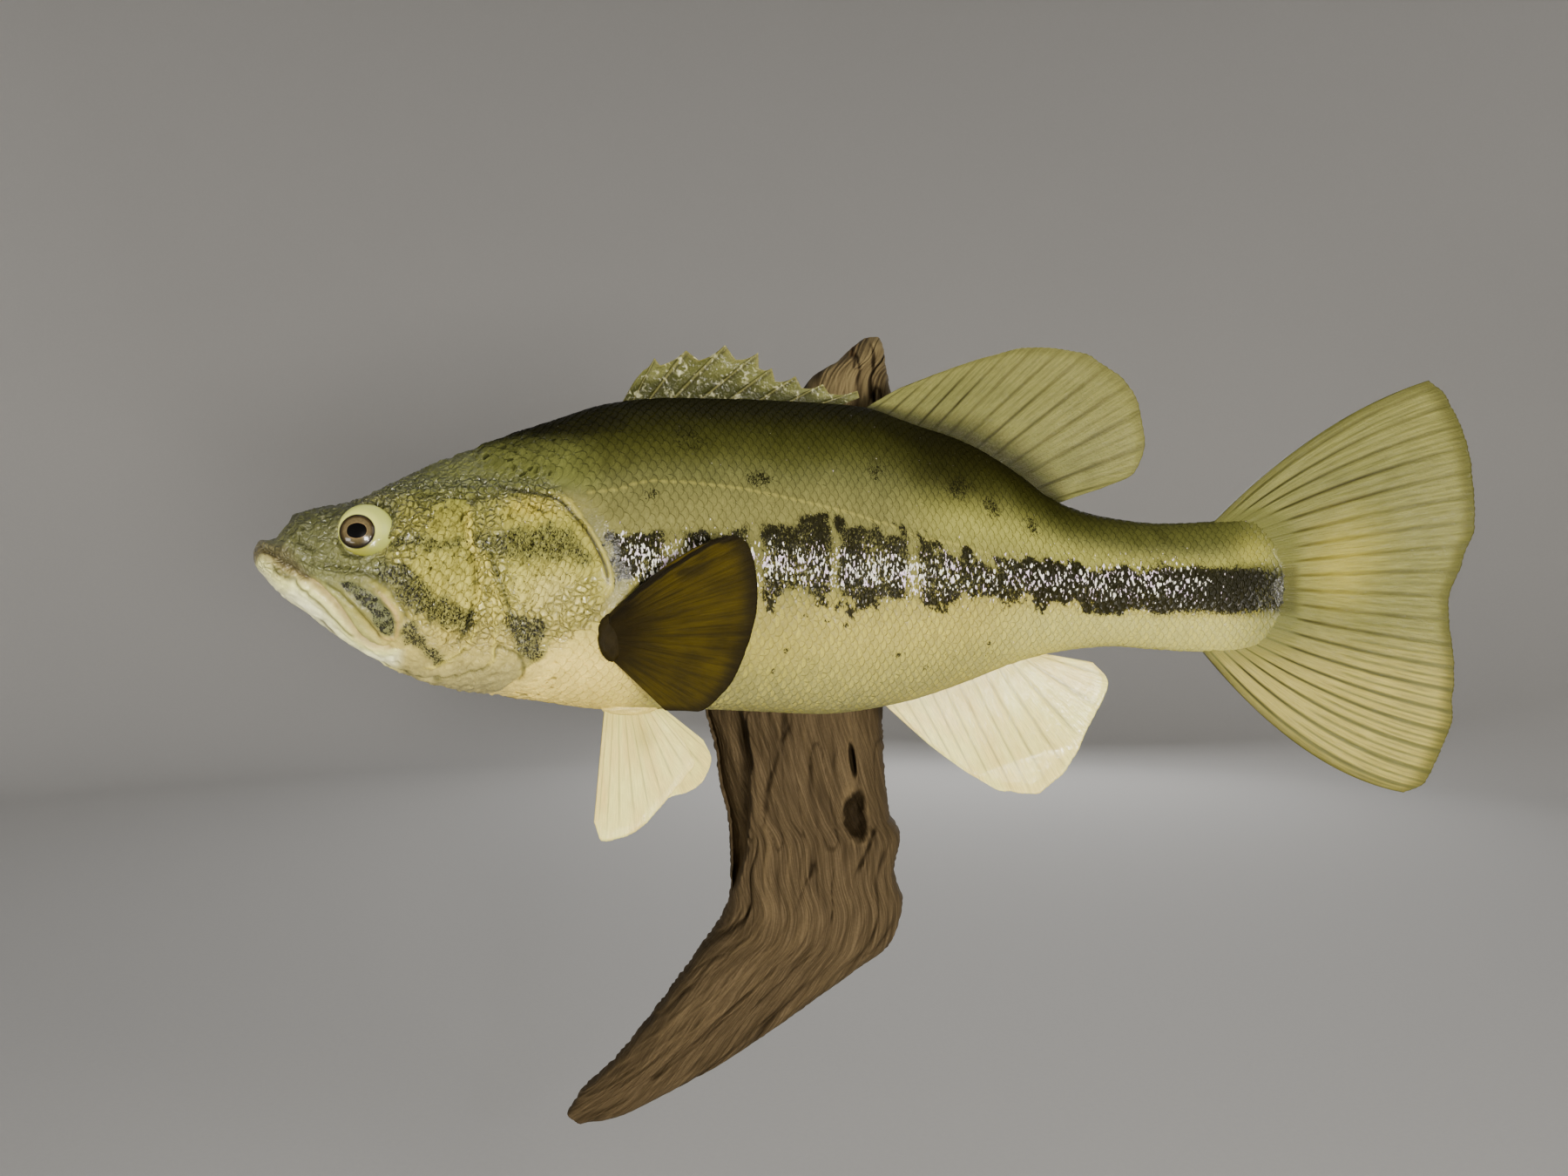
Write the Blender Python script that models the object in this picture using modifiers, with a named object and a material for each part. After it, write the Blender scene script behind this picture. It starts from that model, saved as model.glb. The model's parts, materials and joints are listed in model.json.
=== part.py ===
"""A mounted largemouth bass on its driftwood wall mount, at life size.

The wall is the plane y = 0 and the fish hangs in front of it, towards -Y, nose towards -X.
The origin is the middle of the flat sawn patch on the back of the driftwood.

The fish is laid out along its own body axis. A place on it is named by three numbers in
millimetres: 'along', the distance from the tip of the lower jaw; 'side', the distance out of
the middle plane, positive on the fish's left, which faces away from the wall; and 'up'.
"""
import math

import bmesh
import bpy
import numpy as np
from mathutils import Matrix, Vector

MM = 0.001
GAP = 0.35                      # clearance between pieces that touch, mm

# ---- how the body curves in plan, seen from above -------------------------------------------
JAW_TIP = (-212.0, -178.0)      # x and y of the lower jaw's tip, mm
HEAD_TURN = 23.0                # the head points away from the wall by this, degrees
TAIL_TURN = -6.0                # the tail swings back out by this, degrees
BEND_START = 40.0               # the curve between the two runs over this stretch, mm
BEND_LENGTH = 440.0
BODY_LENGTH = 463.0             # jaw tip to the end of the fleshy tail stalk, mm
FISH_LENGTH = 543.0             # jaw tip to the tips of the tail fin, mm

# ---- the body's sections: along, top, bottom, height of the widest level, half width --------
BODY = (
    (0.0, 17.0, 9.0, 13.0, 5.0),
    (3.0, 19.0, 5.5, 12.5, 9.5),
    (8.0, 20.0, -0.5, 11.0, 14.0),
    (11.5, 24.5, -4.0, 11.0, 16.5),
    (15.0, 29.5, -7.0, 11.0, 18.5),
    (22.0, 32.0, -12.5, 10.0, 21.0),
    (33.0, 34.5, -21.0, 9.0, 24.0),
    (45.0, 39.0, -29.0, 7.5, 27.0),
    (60.0, 47.5, -37.0, 6.0, 31.0),
    (80.0, 57.0, -43.5, 6.0, 35.5),
    (100.0, 66.0, -47.0, 8.0, 40.0),
    (120.0, 73.8, -51.0, 11.0, 44.0),
    (145.0, 82.4, -54.5, 13.0, 47.0),
    (175.0, 86.0, -55.0, 13.0, 48.5),
    (210.0, 86.6, -57.0, 12.0, 49.0),
    (245.0, 86.0, -59.0, 11.0, 47.5),
    (262.0, 84.8, -57.5, 10.5, 45.5),
    (285.0, 77.5, -53.3, 10.0, 42.0),
    (310.0, 69.5, -45.5, 8.5, 36.5),
    (335.0, 55.5, -36.0, 6.0, 29.0),
    (355.0, 41.0, -30.8, 4.0, 22.5),
    (380.0, 33.5, -28.3, 2.5, 16.5),
    (405.0, 30.8, -30.0, 1.0, 12.5),
    (430.0, 31.0, -31.0, 0.0, 10.0),
    (450.0, 30.0, -29.5, 0.0, 7.5),
    (459.0, 25.0, -24.0, 0.5, 4.6),
    (463.0, 15.0, -13.0, 1.0, 1.8),
)
# how square the section is above and below its widest level: 2 is an ellipse
ROUNDNESS = (
    (0.0, 2.0, 2.0),
    (40.0, 2.6, 1.9),
    (90.0, 2.1, 1.9),
    (160.0, 2.0, 2.25),
    (260.0, 2.0, 2.2),
    (340.0, 2.0, 2.0),
    (463.0, 2.1, 2.1),
)
RING_POINTS = 20
STATIONS = 40

# ---- the thin cuts that part the body, as (along, up) points in side view --------------------
CUT_WIDTH = 0.4
CUT_REACH = 62.0                # the cuts run this far to each side, past the body
GILL_CUT = (
    (104.0, 95.0), (105.0, 66.0), (107.0, 45.0), (112.0, 39.6), (117.5, 35.0), (124.0, 25.5),
    (130.5, 16.5), (135.3, 6.0), (136.2, 1.0), (131.0, -7.5), (124.0, -14.3), (116.0, -19.4),
    (110.5, -28.0), (101.0, -37.0), (95.5, -44.0), (92.0, -70.0),
)
MOUTH_CUT = (
    (-8.0, 21.0), (2.0, 16.5), (5.6, 14.2), (11.0, 9.4), (17.0, 4.9), (21.0, 2.0), (28.3, -5.8),
    (35.0, -14.4), (40.0, -21.4), (46.0, -24.8), (56.0, -25.8), (64.0, -31.0), (68.0, -60.0),
)
TAIL_CUT = ((366.0, 80.0), (366.0, -70.0))

# ---- eyes -------------------------------------------------------------------------------------
EYE_AT = (42.0, 17.5, 20.2)     # along, side, up
EYE_RADIUS = 12.4               # across the eyeball
EYE_DEPTH = 8.6                 # from its middle plane to the front of the cornea
EYE_FORWARD = 14.0              # the gaze is turned towards the nose by this, degrees

# ---- bony plates: along, up and half height of each along its run -----------------------------
UPPER_JAW_PLATE = (
    (0.0, 12.5, 15.8, 1.5),
    (0.3, 26.0, 5.4, 3.2),
    (0.6, 38.0, -2.8, 5.6),
    (0.8, 46.0, -10.0, 6.2),
    (0.93, 50.4, -15.6, 4.8),
    (1.0, 52.6, -18.8, 2.4),
)
# up level, then the front and rear edge of the gill cover at that level
GILL_PLATE = (
    (-29.0, 92.6, 103.6),
    (-23.5, 92.3, 110.8),
    (-18.5, 92.0, 115.6),
    (-13.0, 91.5, 124.0),
    (-6.0, 90.6, 131.0),
    (1.0, 89.2, 134.9),
    (6.0, 88.2, 134.0),
    (16.5, 85.8, 129.2),
    (25.5, 84.2, 122.9),
    (33.5, 83.5, 117.2),
    (37.5, 84.5, 112.0),
)
PLATE_LIFT = 1.4                # the plates stand this far out of the head
PLATE_DEPTH = 3.6               # and reach this far into it

# ---- fins: thickness ---------------------------------------------------------------------------
RAY_HALF = 1.1                  # half thickness at a ray's root, mm
WEB_HALF = 0.65                 # half thickness of the web between rays
EDGE_HALF = 0.42                # half thickness at the free edge
FIN_ROWS = (0.0, 0.25, 0.6, 1.0)

# spiny dorsal fin: root of each spine, its tip (along, up), then the notch behind it
SPINES = (
    (151.0, 157.5, 97.0, 160.5, 98.5),
    (155.5, 165.5, 103.4, 168.0, 100.2),
    (163.0, 180.0, 107.6, 186.0, 103.4),
    (174.0, 198.0, 111.0, 203.0, 104.4),
    (187.0, 213.5, 108.2, 213.8, 101.2),
    (200.0, 220.0, 101.4, 221.5, 95.2),
    (214.0, 231.0, 98.0, 234.0, 92.6),
    (228.0, 244.0, 94.8, 247.0, 90.4),
    (243.0, 260.5, 92.0, 261.5, 88.8),
)
# outline of each soft fin: place on it from 0 to 1, then along and up
SOFT_DORSAL = (
    (0.0, 281.0, 94.0),
    (0.14, 300.0, 101.5),
    (0.3, 325.0, 109.8),
    (0.42, 345.0, 114.0),
    (0.54, 364.0, 112.0),
    (0.67, 381.0, 103.0),
    (0.78, 393.0, 88.0),
    (0.87, 396.5, 70.0),
    (0.94, 392.0, 54.5),
    (1.0, 376.0, 46.8),
)
SOFT_DORSAL_ROOT = (264.0, 356.0)
SOFT_DORSAL_RAYS = 12
TAIL_FIN = (
    (0.0, 524.0, 95.6),
    (0.05, 531.5, 89.0),
    (0.13, 537.0, 75.0),
    (0.24, 541.7, 53.0),
    (0.34, 543.0, 31.0),
    (0.42, 539.4, 14.0),
    (0.52, 532.8, -8.0),
    (0.64, 533.5, -33.0),
    (0.77, 533.0, -58.0),
    (0.88, 528.0, -77.0),
    (0.96, 521.0, -91.0),
    (1.0, 513.0, -94.4),
)
TAIL_FIN_ROOT = (424.0, 415.0)  # where it starts on the stalk's upper and lower edge
TAIL_FIN_RAYS = 15
# the outer rays bow outwards: place across the fin, then the bow
TAIL_FIN_BOW = ((0.0, 34.0), (0.25, 6.0), (0.5, 0.0), (0.75, -10.0), (1.0, -48.0))
TAIL_FIN_CUP = 5.0              # the lobes curl towards the left side by this at their tips
ANAL_FIN = (
    (0.0, 286.0, -66.0),
    (0.12, 297.0, -75.5),
    (0.28, 314.0, -87.5),
    (0.42, 330.0, -95.5),
    (0.55, 343.0, -96.5),
    (0.68, 356.0, -88.0),
    (0.82, 369.0, -66.0),
    (0.94, 379.0, -44.0),
    (1.0, 372.0, -35.0),
)
ANAL_FIN_ROOT = (274.0, 350.0)
ANAL_FIN_RAYS = 9
ANAL_FIN_LEAN = 5.0             # its edge is bent towards the left side by this

# pectoral fins: a fleshy root lobe and a fan of rays, in (along, up)
LOBE_FACETS = (10, 6)
PECTORAL_ROOT = (136.5, -19.0)  # along and up of the lobe's middle, on the body's surface
PECTORAL_LOBE = (6.0, 4.6, 12.0)    # its half sizes
PECTORAL_SPREAD = 11.5          # the rays start this far above and below its middle
PECTORAL_AHEAD = 2.5            # and this far behind it
PECTORAL_BOW = 12.0            # the upper rays bow upwards
PECTORAL_RAYS = 9
PECTORAL_FAN = (
    (0.0, 175.0, 19.0),
    (0.08, 183.0, 20.8),
    (0.18, 189.5, 17.6),
    (0.28, 192.6, 9.0),
    (0.42, 193.6, -5.0),
    (0.56, 191.5, -20.0),
    (0.7, 187.0, -34.0),
    (0.8, 181.0, -43.0),
    (0.9, 171.0, -50.0),
    (1.0, 159.0, -50.0),
)
PECTORAL_OUT = 33.0             # the left fin stands away from the body by this, degrees
PECTORAL_OUT_WALL = 50.0        # the right one by this, and is folded shorter
PECTORAL_WALL_REACH = 0.7

# pelvic fins: a root lobe and a fan of rays, in (along, up)
PELVIC_ROOT = (10.0, -53.0)     # side and up of the lobe's middle
PELVIC_LOBE = (12.0, 5.0, 4.2)
PELVIC_RAYS = 6
PELVIC_LEVEL = -54.8            # the rays start at this level, clear of the belly
PELVIC_SPLAY = 0.26             # sideways run for each millimetre down
PELVIC_LEFT = (
    (0.0, 134.0, -99.0),
    (0.12, 137.0, -107.5),
    (0.25, 143.0, -107.3),
    (0.45, 156.0, -101.8),
    (0.62, 166.0, -93.0),
    (0.8, 176.0, -83.0),
    (0.92, 180.6, -77.0),
    (1.0, 177.0, -69.0),
)
PELVIC_LEFT_ROOT = (141.0, 163.5)
# the right fin is swept further back
PELVIC_RIGHT = (
    (0.0, 147.0, -98.0),
    (0.14, 153.0, -103.5),
    (0.3, 163.0, -103.0),
    (0.5, 177.0, -98.5),
    (0.66, 187.0, -95.5),
    (0.8, 193.0, -89.0),
    (0.9, 195.3, -81.0),
    (1.0, 191.0, -71.0),
)
PELVIC_RIGHT_ROOT = (145.0, 168.5)

# ---- driftwood: left edge (x, z), right edge (x, z), depth of the front and of the back -------
DRIFTWOOD = (
    (40.5, 130.5, 50.5, 131.0, 30.0, 16.0),
    (33.5, 125.0, 52.5, 125.5, 39.0, 9.0),
    (27.0, 118.0, 53.5, 117.0, 45.0, 5.0),
    (12.0, 108.0, 55.5, 106.5, 50.0, 3.0),
    (0.0, 82.0, 58.5, 80.0, 55.0, 1.5),
    (-11.0, 50.0, 59.0, 50.0, 58.0, 0.0),
    (-20.0, 20.0, 58.0, 20.0, 60.0, 0.0),
    (-25.0, -15.0, 56.0, -15.0, 62.0, 0.0),
    (-33.0, -42.0, 54.0, -42.0, 63.0, 0.0),
    (-41.5, -63.0, 52.0, -63.0, 62.0, 1.5),
    (-37.0, -82.0, 52.5, -82.0, 60.0, 3.0),
    (-34.5, -100.0, 53.5, -101.0, 59.0, 4.0),
    (-31.0, -114.0, 55.5, -117.0, 58.0, 4.0),
    (-29.0, -128.0, 61.0, -129.0, 58.0, 4.0),
    (-28.5, -145.0, 58.0, -147.0, 57.0, 3.0),
    (-29.0, -161.0, 62.5, -163.0, 56.0, 3.0),
    (-33.0, -172.0, 57.0, -183.0, 54.0, 4.0),
    (-43.0, -187.0, 37.0, -199.5, 50.0, 5.0),
    (-59.6, -210.0, 3.0, -224.5, 46.0, 6.0),
    (-75.0, -231.0, -29.0, -247.0, 41.0, 7.0),
    (-90.0, -249.0, -59.0, -264.5, 36.0, 8.0),
    (-107.5, -266.0, -88.0, -279.0, 30.0, 9.0),
    (-115.0, -277.5, -106.0, -283.5, 24.0, 12.0),
)
WOOD_RINGS = 27
WOOD_FRONT_POINTS = 15
WOOD_BACK_POINTS = 3
WOOD_BACK_EDGE = 0.12           # the flat back stops this share short of each side
WOOD_SIDE_DEPTH = 0.3           # the sides turn to the front at this share of the depth
WOOD_FULLNESS = 3.0             # how square the front is in section
WOOD_GROOVES = 3.5              # weathered grooves across the front
WOOD_GROOVE_DEPTH = 2.2
WOOD_LEDGE_DEPTH = 17.0         # the split ledge on the left, below the fish
WOOD_LEDGE = ((-160.0, 0.0), (-142.0, 0.9), (-90.0, 1.0), (-66.0, 0.8), (-50.0, 0.0))
# hollows: middle x, y, z, then half sizes
WOOD_HOLLOWS = (
    (35.0, -57.0, -86.0, 2.6, 9.0, 9.0),
    (36.5, -54.0, -125.0, 5.0, 9.0, 8.0),
)


# =============================================================================================
# Curves and places
# =============================================================================================
def flow(rows, at):
    """Read a smooth curve through the rows, with no overshoot between them."""
    rows = np.array(rows, dtype=float)
    at = np.clip(np.asarray(at, dtype=float), rows[0, 0], rows[-1, 0])
    knots = rows[:, 0]
    values = rows[:, 1:]
    slopes = np.diff(values, axis=0) / np.diff(knots)[:, None]
    tangents = np.zeros_like(values)
    tangents[0] = slopes[0]
    tangents[-1] = slopes[-1]
    before = slopes[:-1]
    after = slopes[1:]
    rising = before * after > 0.0
    total = np.where(rising, before + after, 1.0)
    tangents[1:-1] = np.where(rising, 2.0 * before * after / total, 0.0)
    k = np.clip(np.searchsorted(knots, at, side="right") - 1, 0, len(knots) - 2)
    width = (knots[k + 1] - knots[k])[..., None]
    t = (at[..., None] - knots[k][..., None]) / width
    return (
        values[k] * (2.0 * t**3 - 3.0 * t**2 + 1.0)
        + tangents[k] * width * (t**3 - 2.0 * t**2 + t)
        + values[k + 1] * (3.0 * t**2 - 2.0 * t**3)
        + tangents[k + 1] * width * (t**3 - t**2)
    )


def lay_axis():
    """Work out the body axis in plan by walking along it with a turning heading."""
    step = 0.5
    along = np.arange(-30.0, FISH_LENGTH + 30.0 + step, step)
    turned = np.clip((along - BEND_START) / BEND_LENGTH, 0.0, 1.0)
    middle = (HEAD_TURN + TAIL_TURN) / 2.0
    swing = (HEAD_TURN - TAIL_TURN) / 2.0
    heading = np.radians(middle + swing * np.cos(np.pi * turned))
    x = np.cumsum(np.cos(heading)) * step
    y = np.cumsum(np.sin(heading)) * step
    x += JAW_TIP[0] - np.interp(0.0, along, x)
    y += JAW_TIP[1] - np.interp(0.0, along, y)
    return along, x, y, heading


AXIS = lay_axis()


def place(along, side, up):
    """Turn places on the fish, in millimetres, into world points in metres."""
    along, side, up = np.broadcast_arrays(along, side, up)
    steps, axis_x, axis_y, axis_heading = AXIS
    heading = np.interp(along, steps, axis_heading)
    x = np.interp(along, steps, axis_x) + side * np.sin(heading)
    y = np.interp(along, steps, axis_y) - side * np.cos(heading)
    return np.stack([x, y, up + 0.0 * x], axis=-1) * MM


def stations():
    """Where the body's sections stand: close together at the head and the tail."""
    share = (0.0, 0.1, 0.4, 0.84, 1.0)
    reached = (0.0, 11.5, 120.0, 420.0, BODY_LENGTH)
    return np.interp(np.linspace(0.0, 1.0, STATIONS), share, reached)


def body_top(along):
    """Height of the ridge of the back, straight from one section to the next."""
    return np.interp(along, stations(), flow(BODY, stations())[:, 0])


def body_bottom(along):
    return np.interp(along, stations(), flow(BODY, stations())[:, 1])


def body_side(along, up):
    """Half width of the body at a place in side view."""
    top, bottom, wide, half = np.moveaxis(flow(BODY, along), -1, 0)
    over, under = np.moveaxis(flow(ROUNDNESS, along), -1, 0)
    reach = np.where(up > wide, top - wide, wide - bottom)
    power = np.where(up > wide, over, under)
    part = np.clip(np.abs(up - wide) / reach, 0.0, 0.999)
    return half * (1.0 - part**power) ** (1.0 / power)


# =============================================================================================
# Making objects
# =============================================================================================
def start_clean():
    for obj in list(bpy.data.objects):
        bpy.data.objects.remove(obj, do_unlink=True)
    for kind in (bpy.data.meshes, bpy.data.materials, bpy.data.collections):
        for item in list(kind):
            kind.remove(item)


def new_collection(name):
    collection = bpy.data.collections.new(name)
    bpy.context.scene.collection.children.link(collection)
    return collection


def paint(name, colour, roughness, coat=0.0):
    """A Principled material in the part's own colour."""
    material = bpy.data.materials.new(name)
    material.use_nodes = True
    shader = material.node_tree.nodes["Principled BSDF"]
    shader.inputs["Base Color"].default_value = (*colour, 1.0)
    shader.inputs["Roughness"].default_value = roughness
    shader.inputs["Coat Weight"].default_value = coat
    material.diffuse_color = (*colour, 1.0)
    return material


def add_object(name, mesh, collection, material=None):
    obj = bpy.data.objects.new(name, mesh)
    collection.objects.link(obj)
    if material is not None:
        mesh.materials.append(material)
    return obj


def mesh_from(points, faces, name):
    """A closed mesh with every face turned outwards."""
    built = bmesh.new()
    verts = [built.verts.new(point) for point in points]
    for face in faces:
        built.faces.new([verts[k] for k in face])
    bmesh.ops.recalc_face_normals(built, faces=built.faces)
    mesh = bpy.data.meshes.new(name)
    built.to_mesh(mesh)
    built.free()
    return mesh


def lofted(rings, name):
    """Join equal rings of points into one tube and cap both ends."""
    count, around = rings.shape[:2]
    faces = []
    for k in range(count - 1):
        for j in range(around):
            following = (j + 1) % around
            faces.append((k * around + j, k * around + following,
                          (k + 1) * around + following, (k + 1) * around + j))
    faces.append(tuple(range(around)))
    faces.append(tuple(range((count - 1) * around, count * around)))
    return mesh_from(rings.reshape(-1, 3), faces, name)


def slab(front, back, name):
    """Close two matching grids of points, one in front of the other, into one solid."""
    rows, columns = front.shape[:2]
    offset = rows * columns
    faces = []
    for i in range(rows - 1):
        for j in range(columns - 1):
            a = i * columns + j
            quad = (a, a + 1, a + columns + 1, a + columns)
            faces.append(quad)
            faces.append(tuple(offset + k for k in reversed(quad)))
    rim = [j for j in range(columns)]
    rim += [i * columns + columns - 1 for i in range(1, rows)]
    rim += [(rows - 1) * columns + j for j in range(columns - 2, -1, -1)]
    rim += [i * columns for i in range(rows - 2, 0, -1)]
    for a, b in zip(rim, rim[1:] + rim[:1]):
        faces.append((a, b, offset + b, offset + a))
    points = np.concatenate([front.reshape(-1, 3), back.reshape(-1, 3)])
    return mesh_from(points, faces, name)


def egg(name, at, half_sizes, turn, roll=0.0, around=14, levels=8):
    """An ellipsoid at a world point, rolled about its length and turned about the vertical."""
    built = bmesh.new()
    facing = Matrix.Rotation(turn, 3, "Z") @ Matrix.Rotation(roll, 3, "X")
    shape = Matrix.LocRotScale(Vector(at), facing, Vector(half_sizes))
    bmesh.ops.create_uvsphere(
        built, u_segments=around, v_segments=levels, radius=1.0, matrix=shape)
    mesh = bpy.data.meshes.new(name)
    built.to_mesh(mesh)
    built.free()
    return mesh


def make_cutter(mesh, cutters):
    cutter = add_object(mesh.name, mesh, cutters)
    cutter.hide_render = True
    cutter.display_type = "WIRE"
    return cutter


def join_with(obj, other, operation):
    """Add a Boolean modifier; Blender's exact solver is its default."""
    modifier = obj.modifiers.new(f"{operation.title()} {other.name}", "BOOLEAN")
    modifier.operation = operation
    modifier.object = other


def evaluated_mesh(obj, name):
    graph = bpy.context.evaluated_depsgraph_get()
    graph.update()
    return bpy.data.meshes.new_from_object(obj.evaluated_get(graph))


# =============================================================================================
# The body, parted by thin cuts
# =============================================================================================
def body_rings(grow=0.0):
    """Sections of the whole body; grow swells it evenly, in millimetres."""
    along = stations()
    top, bottom, wide, half = np.moveaxis(flow(BODY, along)[:, None, :], -1, 0)
    over, under = np.moveaxis(flow(ROUNDNESS, along)[:, None, :], -1, 0)
    angle = np.linspace(0.0, 2.0 * np.pi, RING_POINTS, endpoint=False)[None, :]
    rise = np.cos(angle)
    spread = np.sin(angle)
    power = 2.0 / np.where(rise >= 0.0, over, under)
    height = np.where(rise >= 0.0, top - wide + grow, wide - bottom + grow)
    up = wide + height * np.sign(rise) * np.abs(rise) ** power
    side = (half + grow) * np.sign(spread) * np.abs(spread) ** power
    return place(along[:, None], side, up)


def cutting_wall(name, route, cutters):
    """A thin wall across the whole body that follows a route drawn in side view."""
    along, up = np.array(route).T
    built = bmesh.new()
    strips = []
    for side in (-CUT_REACH, CUT_REACH):
        strips.append([built.verts.new(point) for point in place(along, side, up)])
    for k in range(len(along) - 1):
        built.faces.new((strips[0][k], strips[0][k + 1], strips[1][k + 1], strips[1][k]))
    mesh = bpy.data.meshes.new(name)
    built.to_mesh(mesh)
    built.free()
    wall = make_cutter(mesh, cutters)
    solid = wall.modifiers.new("Thickness", "SOLIDIFY")
    solid.thickness = CUT_WIDTH * MM
    solid.offset = 0.0
    return wall


def loose_parts(mesh):
    """Split a mesh into its separate closed bodies."""
    built = bmesh.new()
    built.from_mesh(mesh)
    waiting = set(built.verts)
    pieces = []
    while waiting:
        edge = [waiting.pop()]
        found = set(edge)
        while edge:
            vert = edge.pop()
            for link in vert.link_edges:
                other = link.other_vert(vert)
                if other not in found:
                    found.add(other)
                    edge.append(other)
        waiting -= found
        pieces.append(found)
    meshes = []
    for found in pieces:
        part = bmesh.new()
        fresh = {vert: part.verts.new(vert.co) for vert in found}
        for face in built.faces:
            if face.verts[0] in found:
                part.faces.new([fresh[vert] for vert in face.verts])
        mesh_part = bpy.data.meshes.new("part")
        part.to_mesh(mesh_part)
        part.free()
        meshes.append(mesh_part)
    built.free()
    return meshes


def part_body(model, cutters, skin):
    """Cut the body at the gills, the mouth and the tail stalk, and name what falls apart."""
    whole = add_object("whole_body", lofted(body_rings(), "whole_body"), cutters)
    for name, route in (("gill_cut", GILL_CUT), ("mouth_cut", MOUTH_CUT), ("tail_cut", TAIL_CUT)):
        join_with(whole, cutting_wall(name, route, cutters), "DIFFERENCE")
    pieces = loose_parts(evaluated_mesh(whole, "parted"))
    bpy.data.objects.remove(whole, do_unlink=True)
    pieces.sort(key=lambda mesh: np.mean([vert.co.x for vert in mesh.vertices]))
    named = {}
    for name, mesh in zip(("lower_jaw", "head", "trunk", "tail_stalk"), pieces):
        mesh.name = name
        named[name] = add_object(name, mesh, model, skin)
    return named


# =============================================================================================
# Eyes and the bony plates of the head
# =============================================================================================
def heading_at(along):
    return float(np.interp(along, AXIS[0], AXIS[3]))


def fit_eye(name, hand, head, model, cutters, material):
    along, side, up = EYE_AT
    at = place(along, hand * side, up)
    turn = heading_at(along) - hand * math.radians(EYE_FORWARD)
    sizes = (EYE_RADIUS, EYE_DEPTH, EYE_RADIUS)
    ball = egg(name, at, [size * MM for size in sizes], turn)
    socket = egg(name + "_socket", at, [(size + GAP) * MM for size in sizes], turn)
    add_object(name, ball, model, material)
    join_with(head, make_cutter(socket, cutters), "DIFFERENCE")


def plate_grids(along, up, hand, lift, depth):
    """The outer and inner face of a plate that follows the head's surface."""
    side = body_side(along, up)
    return place(along, hand * (side + lift), up), place(along, hand * (side - depth), up)


def upper_jaw_spots(margin):
    """Grid over the upper jaw plate: along its run, and across it."""
    run = np.linspace(0.0, 1.0, 9)
    middle_along, middle_up, half = np.moveaxis(flow(UPPER_JAW_PLATE, run), -1, 0)
    slope = np.arctan2(np.gradient(middle_up), np.gradient(middle_along))
    across = np.linspace(-1.0, 1.0, 4)[:, None]
    reach = (half + margin) * across
    ends = margin * (2.0 * run - 1.0)
    along = middle_along + ends * np.cos(slope) - reach * np.sin(slope)
    up = middle_up + ends * np.sin(slope) + reach * np.cos(slope)
    return along, up


def gill_spots(margin):
    """Grid over the gill cover: from its front edge to its rear edge, level by level."""
    level = np.linspace(GILL_PLATE[0][0], GILL_PLATE[-1][0], 10)
    front, rear = np.moveaxis(flow(GILL_PLATE, level), -1, 0)
    share = np.linspace(0.0, 1.0, 5)[:, None]
    along = (front - margin) + (rear - front + 2.0 * margin) * share
    spread = (level - level.mean()) / (level[-1] - level.mean())
    return along, level + margin * spread + 0.0 * along


def fit_plate(name, spots, hand, head, model, cutters, material):
    plate = slab(*plate_grids(*spots(0.0), hand, PLATE_LIFT, PLATE_DEPTH), name)
    pocket = slab(*plate_grids(*spots(GAP), hand, PLATE_LIFT + 4.0, PLATE_DEPTH + GAP),
                  name + "_pocket")
    add_object(name, plate, model, material)
    join_with(head, make_cutter(pocket, cutters), "DIFFERENCE")


# =============================================================================================
# Fins
# =============================================================================================
def ribbed(columns):
    """Half thickness share across a fin: 1 on each ray, 0 on the web between two rays."""
    return (np.arange(columns) % 2 == 0).astype(float)


def fin_grids(root, tip, side_of, bow=0.0):
    """Front and back faces of a fin, from matching rows of root and tip points.

    Each column runs from its root to its tip; bow lifts its middle in the fin's own plane by
    up to a quarter of bow, and side_of(along, up) gives the fin's place off the middle plane.
    """
    share = np.array(FIN_ROWS)[:, None]
    along = root[:, 0] + (tip[:, 0] - root[:, 0]) * share
    up = root[:, 1] + (tip[:, 1] - root[:, 1]) * share + bow * share * (1.0 - share)
    rays = ribbed(root.shape[0])
    thick = (WEB_HALF + (RAY_HALF - WEB_HALF) * rays) * (1.0 - share) + EDGE_HALF * share
    side = side_of(along, up)
    return place(along, side + thick, up), place(along, side - thick, up)


def soft_edge(outline, rays):
    """Tip points of a soft fin's rays and of the webs between them, slightly scalloped."""
    columns = 2 * rays - 1
    share = np.linspace(0.0, 1.0, columns)
    return flow(outline, share)


def spiny_dorsal(model, material):
    """A column for each spine and one for the notch behind it."""
    roots = []
    tips = []
    for k, (root, tip_along, tip_up, notch_along, notch_up) in enumerate(SPINES):
        following = SPINES[k + 1][0] if k + 1 < len(SPINES) else SOFT_DORSAL_ROOT[0] - 1.5
        roots += [root, (root + following) / 2.0]
        tips += [(tip_along, tip_up), (notch_along, notch_up)]
    roots = np.array(roots)
    root = np.stack([roots, body_top(roots) + GAP], axis=-1)
    grids = fin_grids(root, np.array(tips), lambda along, up: 0.0 * along, bow=2.0)
    add_object("dorsal_fin_spiny", slab(*grids, "dorsal_fin_spiny"), model, material)


def soft_dorsal(model, material):
    tips = soft_edge(SOFT_DORSAL, SOFT_DORSAL_RAYS)
    first, last = SOFT_DORSAL_ROOT
    roots = first + (last - first) * np.linspace(0.0, 1.0, len(tips))
    root = np.stack([roots, body_top(roots) + GAP], axis=-1)
    grids = fin_grids(root, tips, lambda along, up: 0.0 * along, bow=3.0)
    add_object("dorsal_fin_soft", slab(*grids, "dorsal_fin_soft"), model, material)


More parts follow.
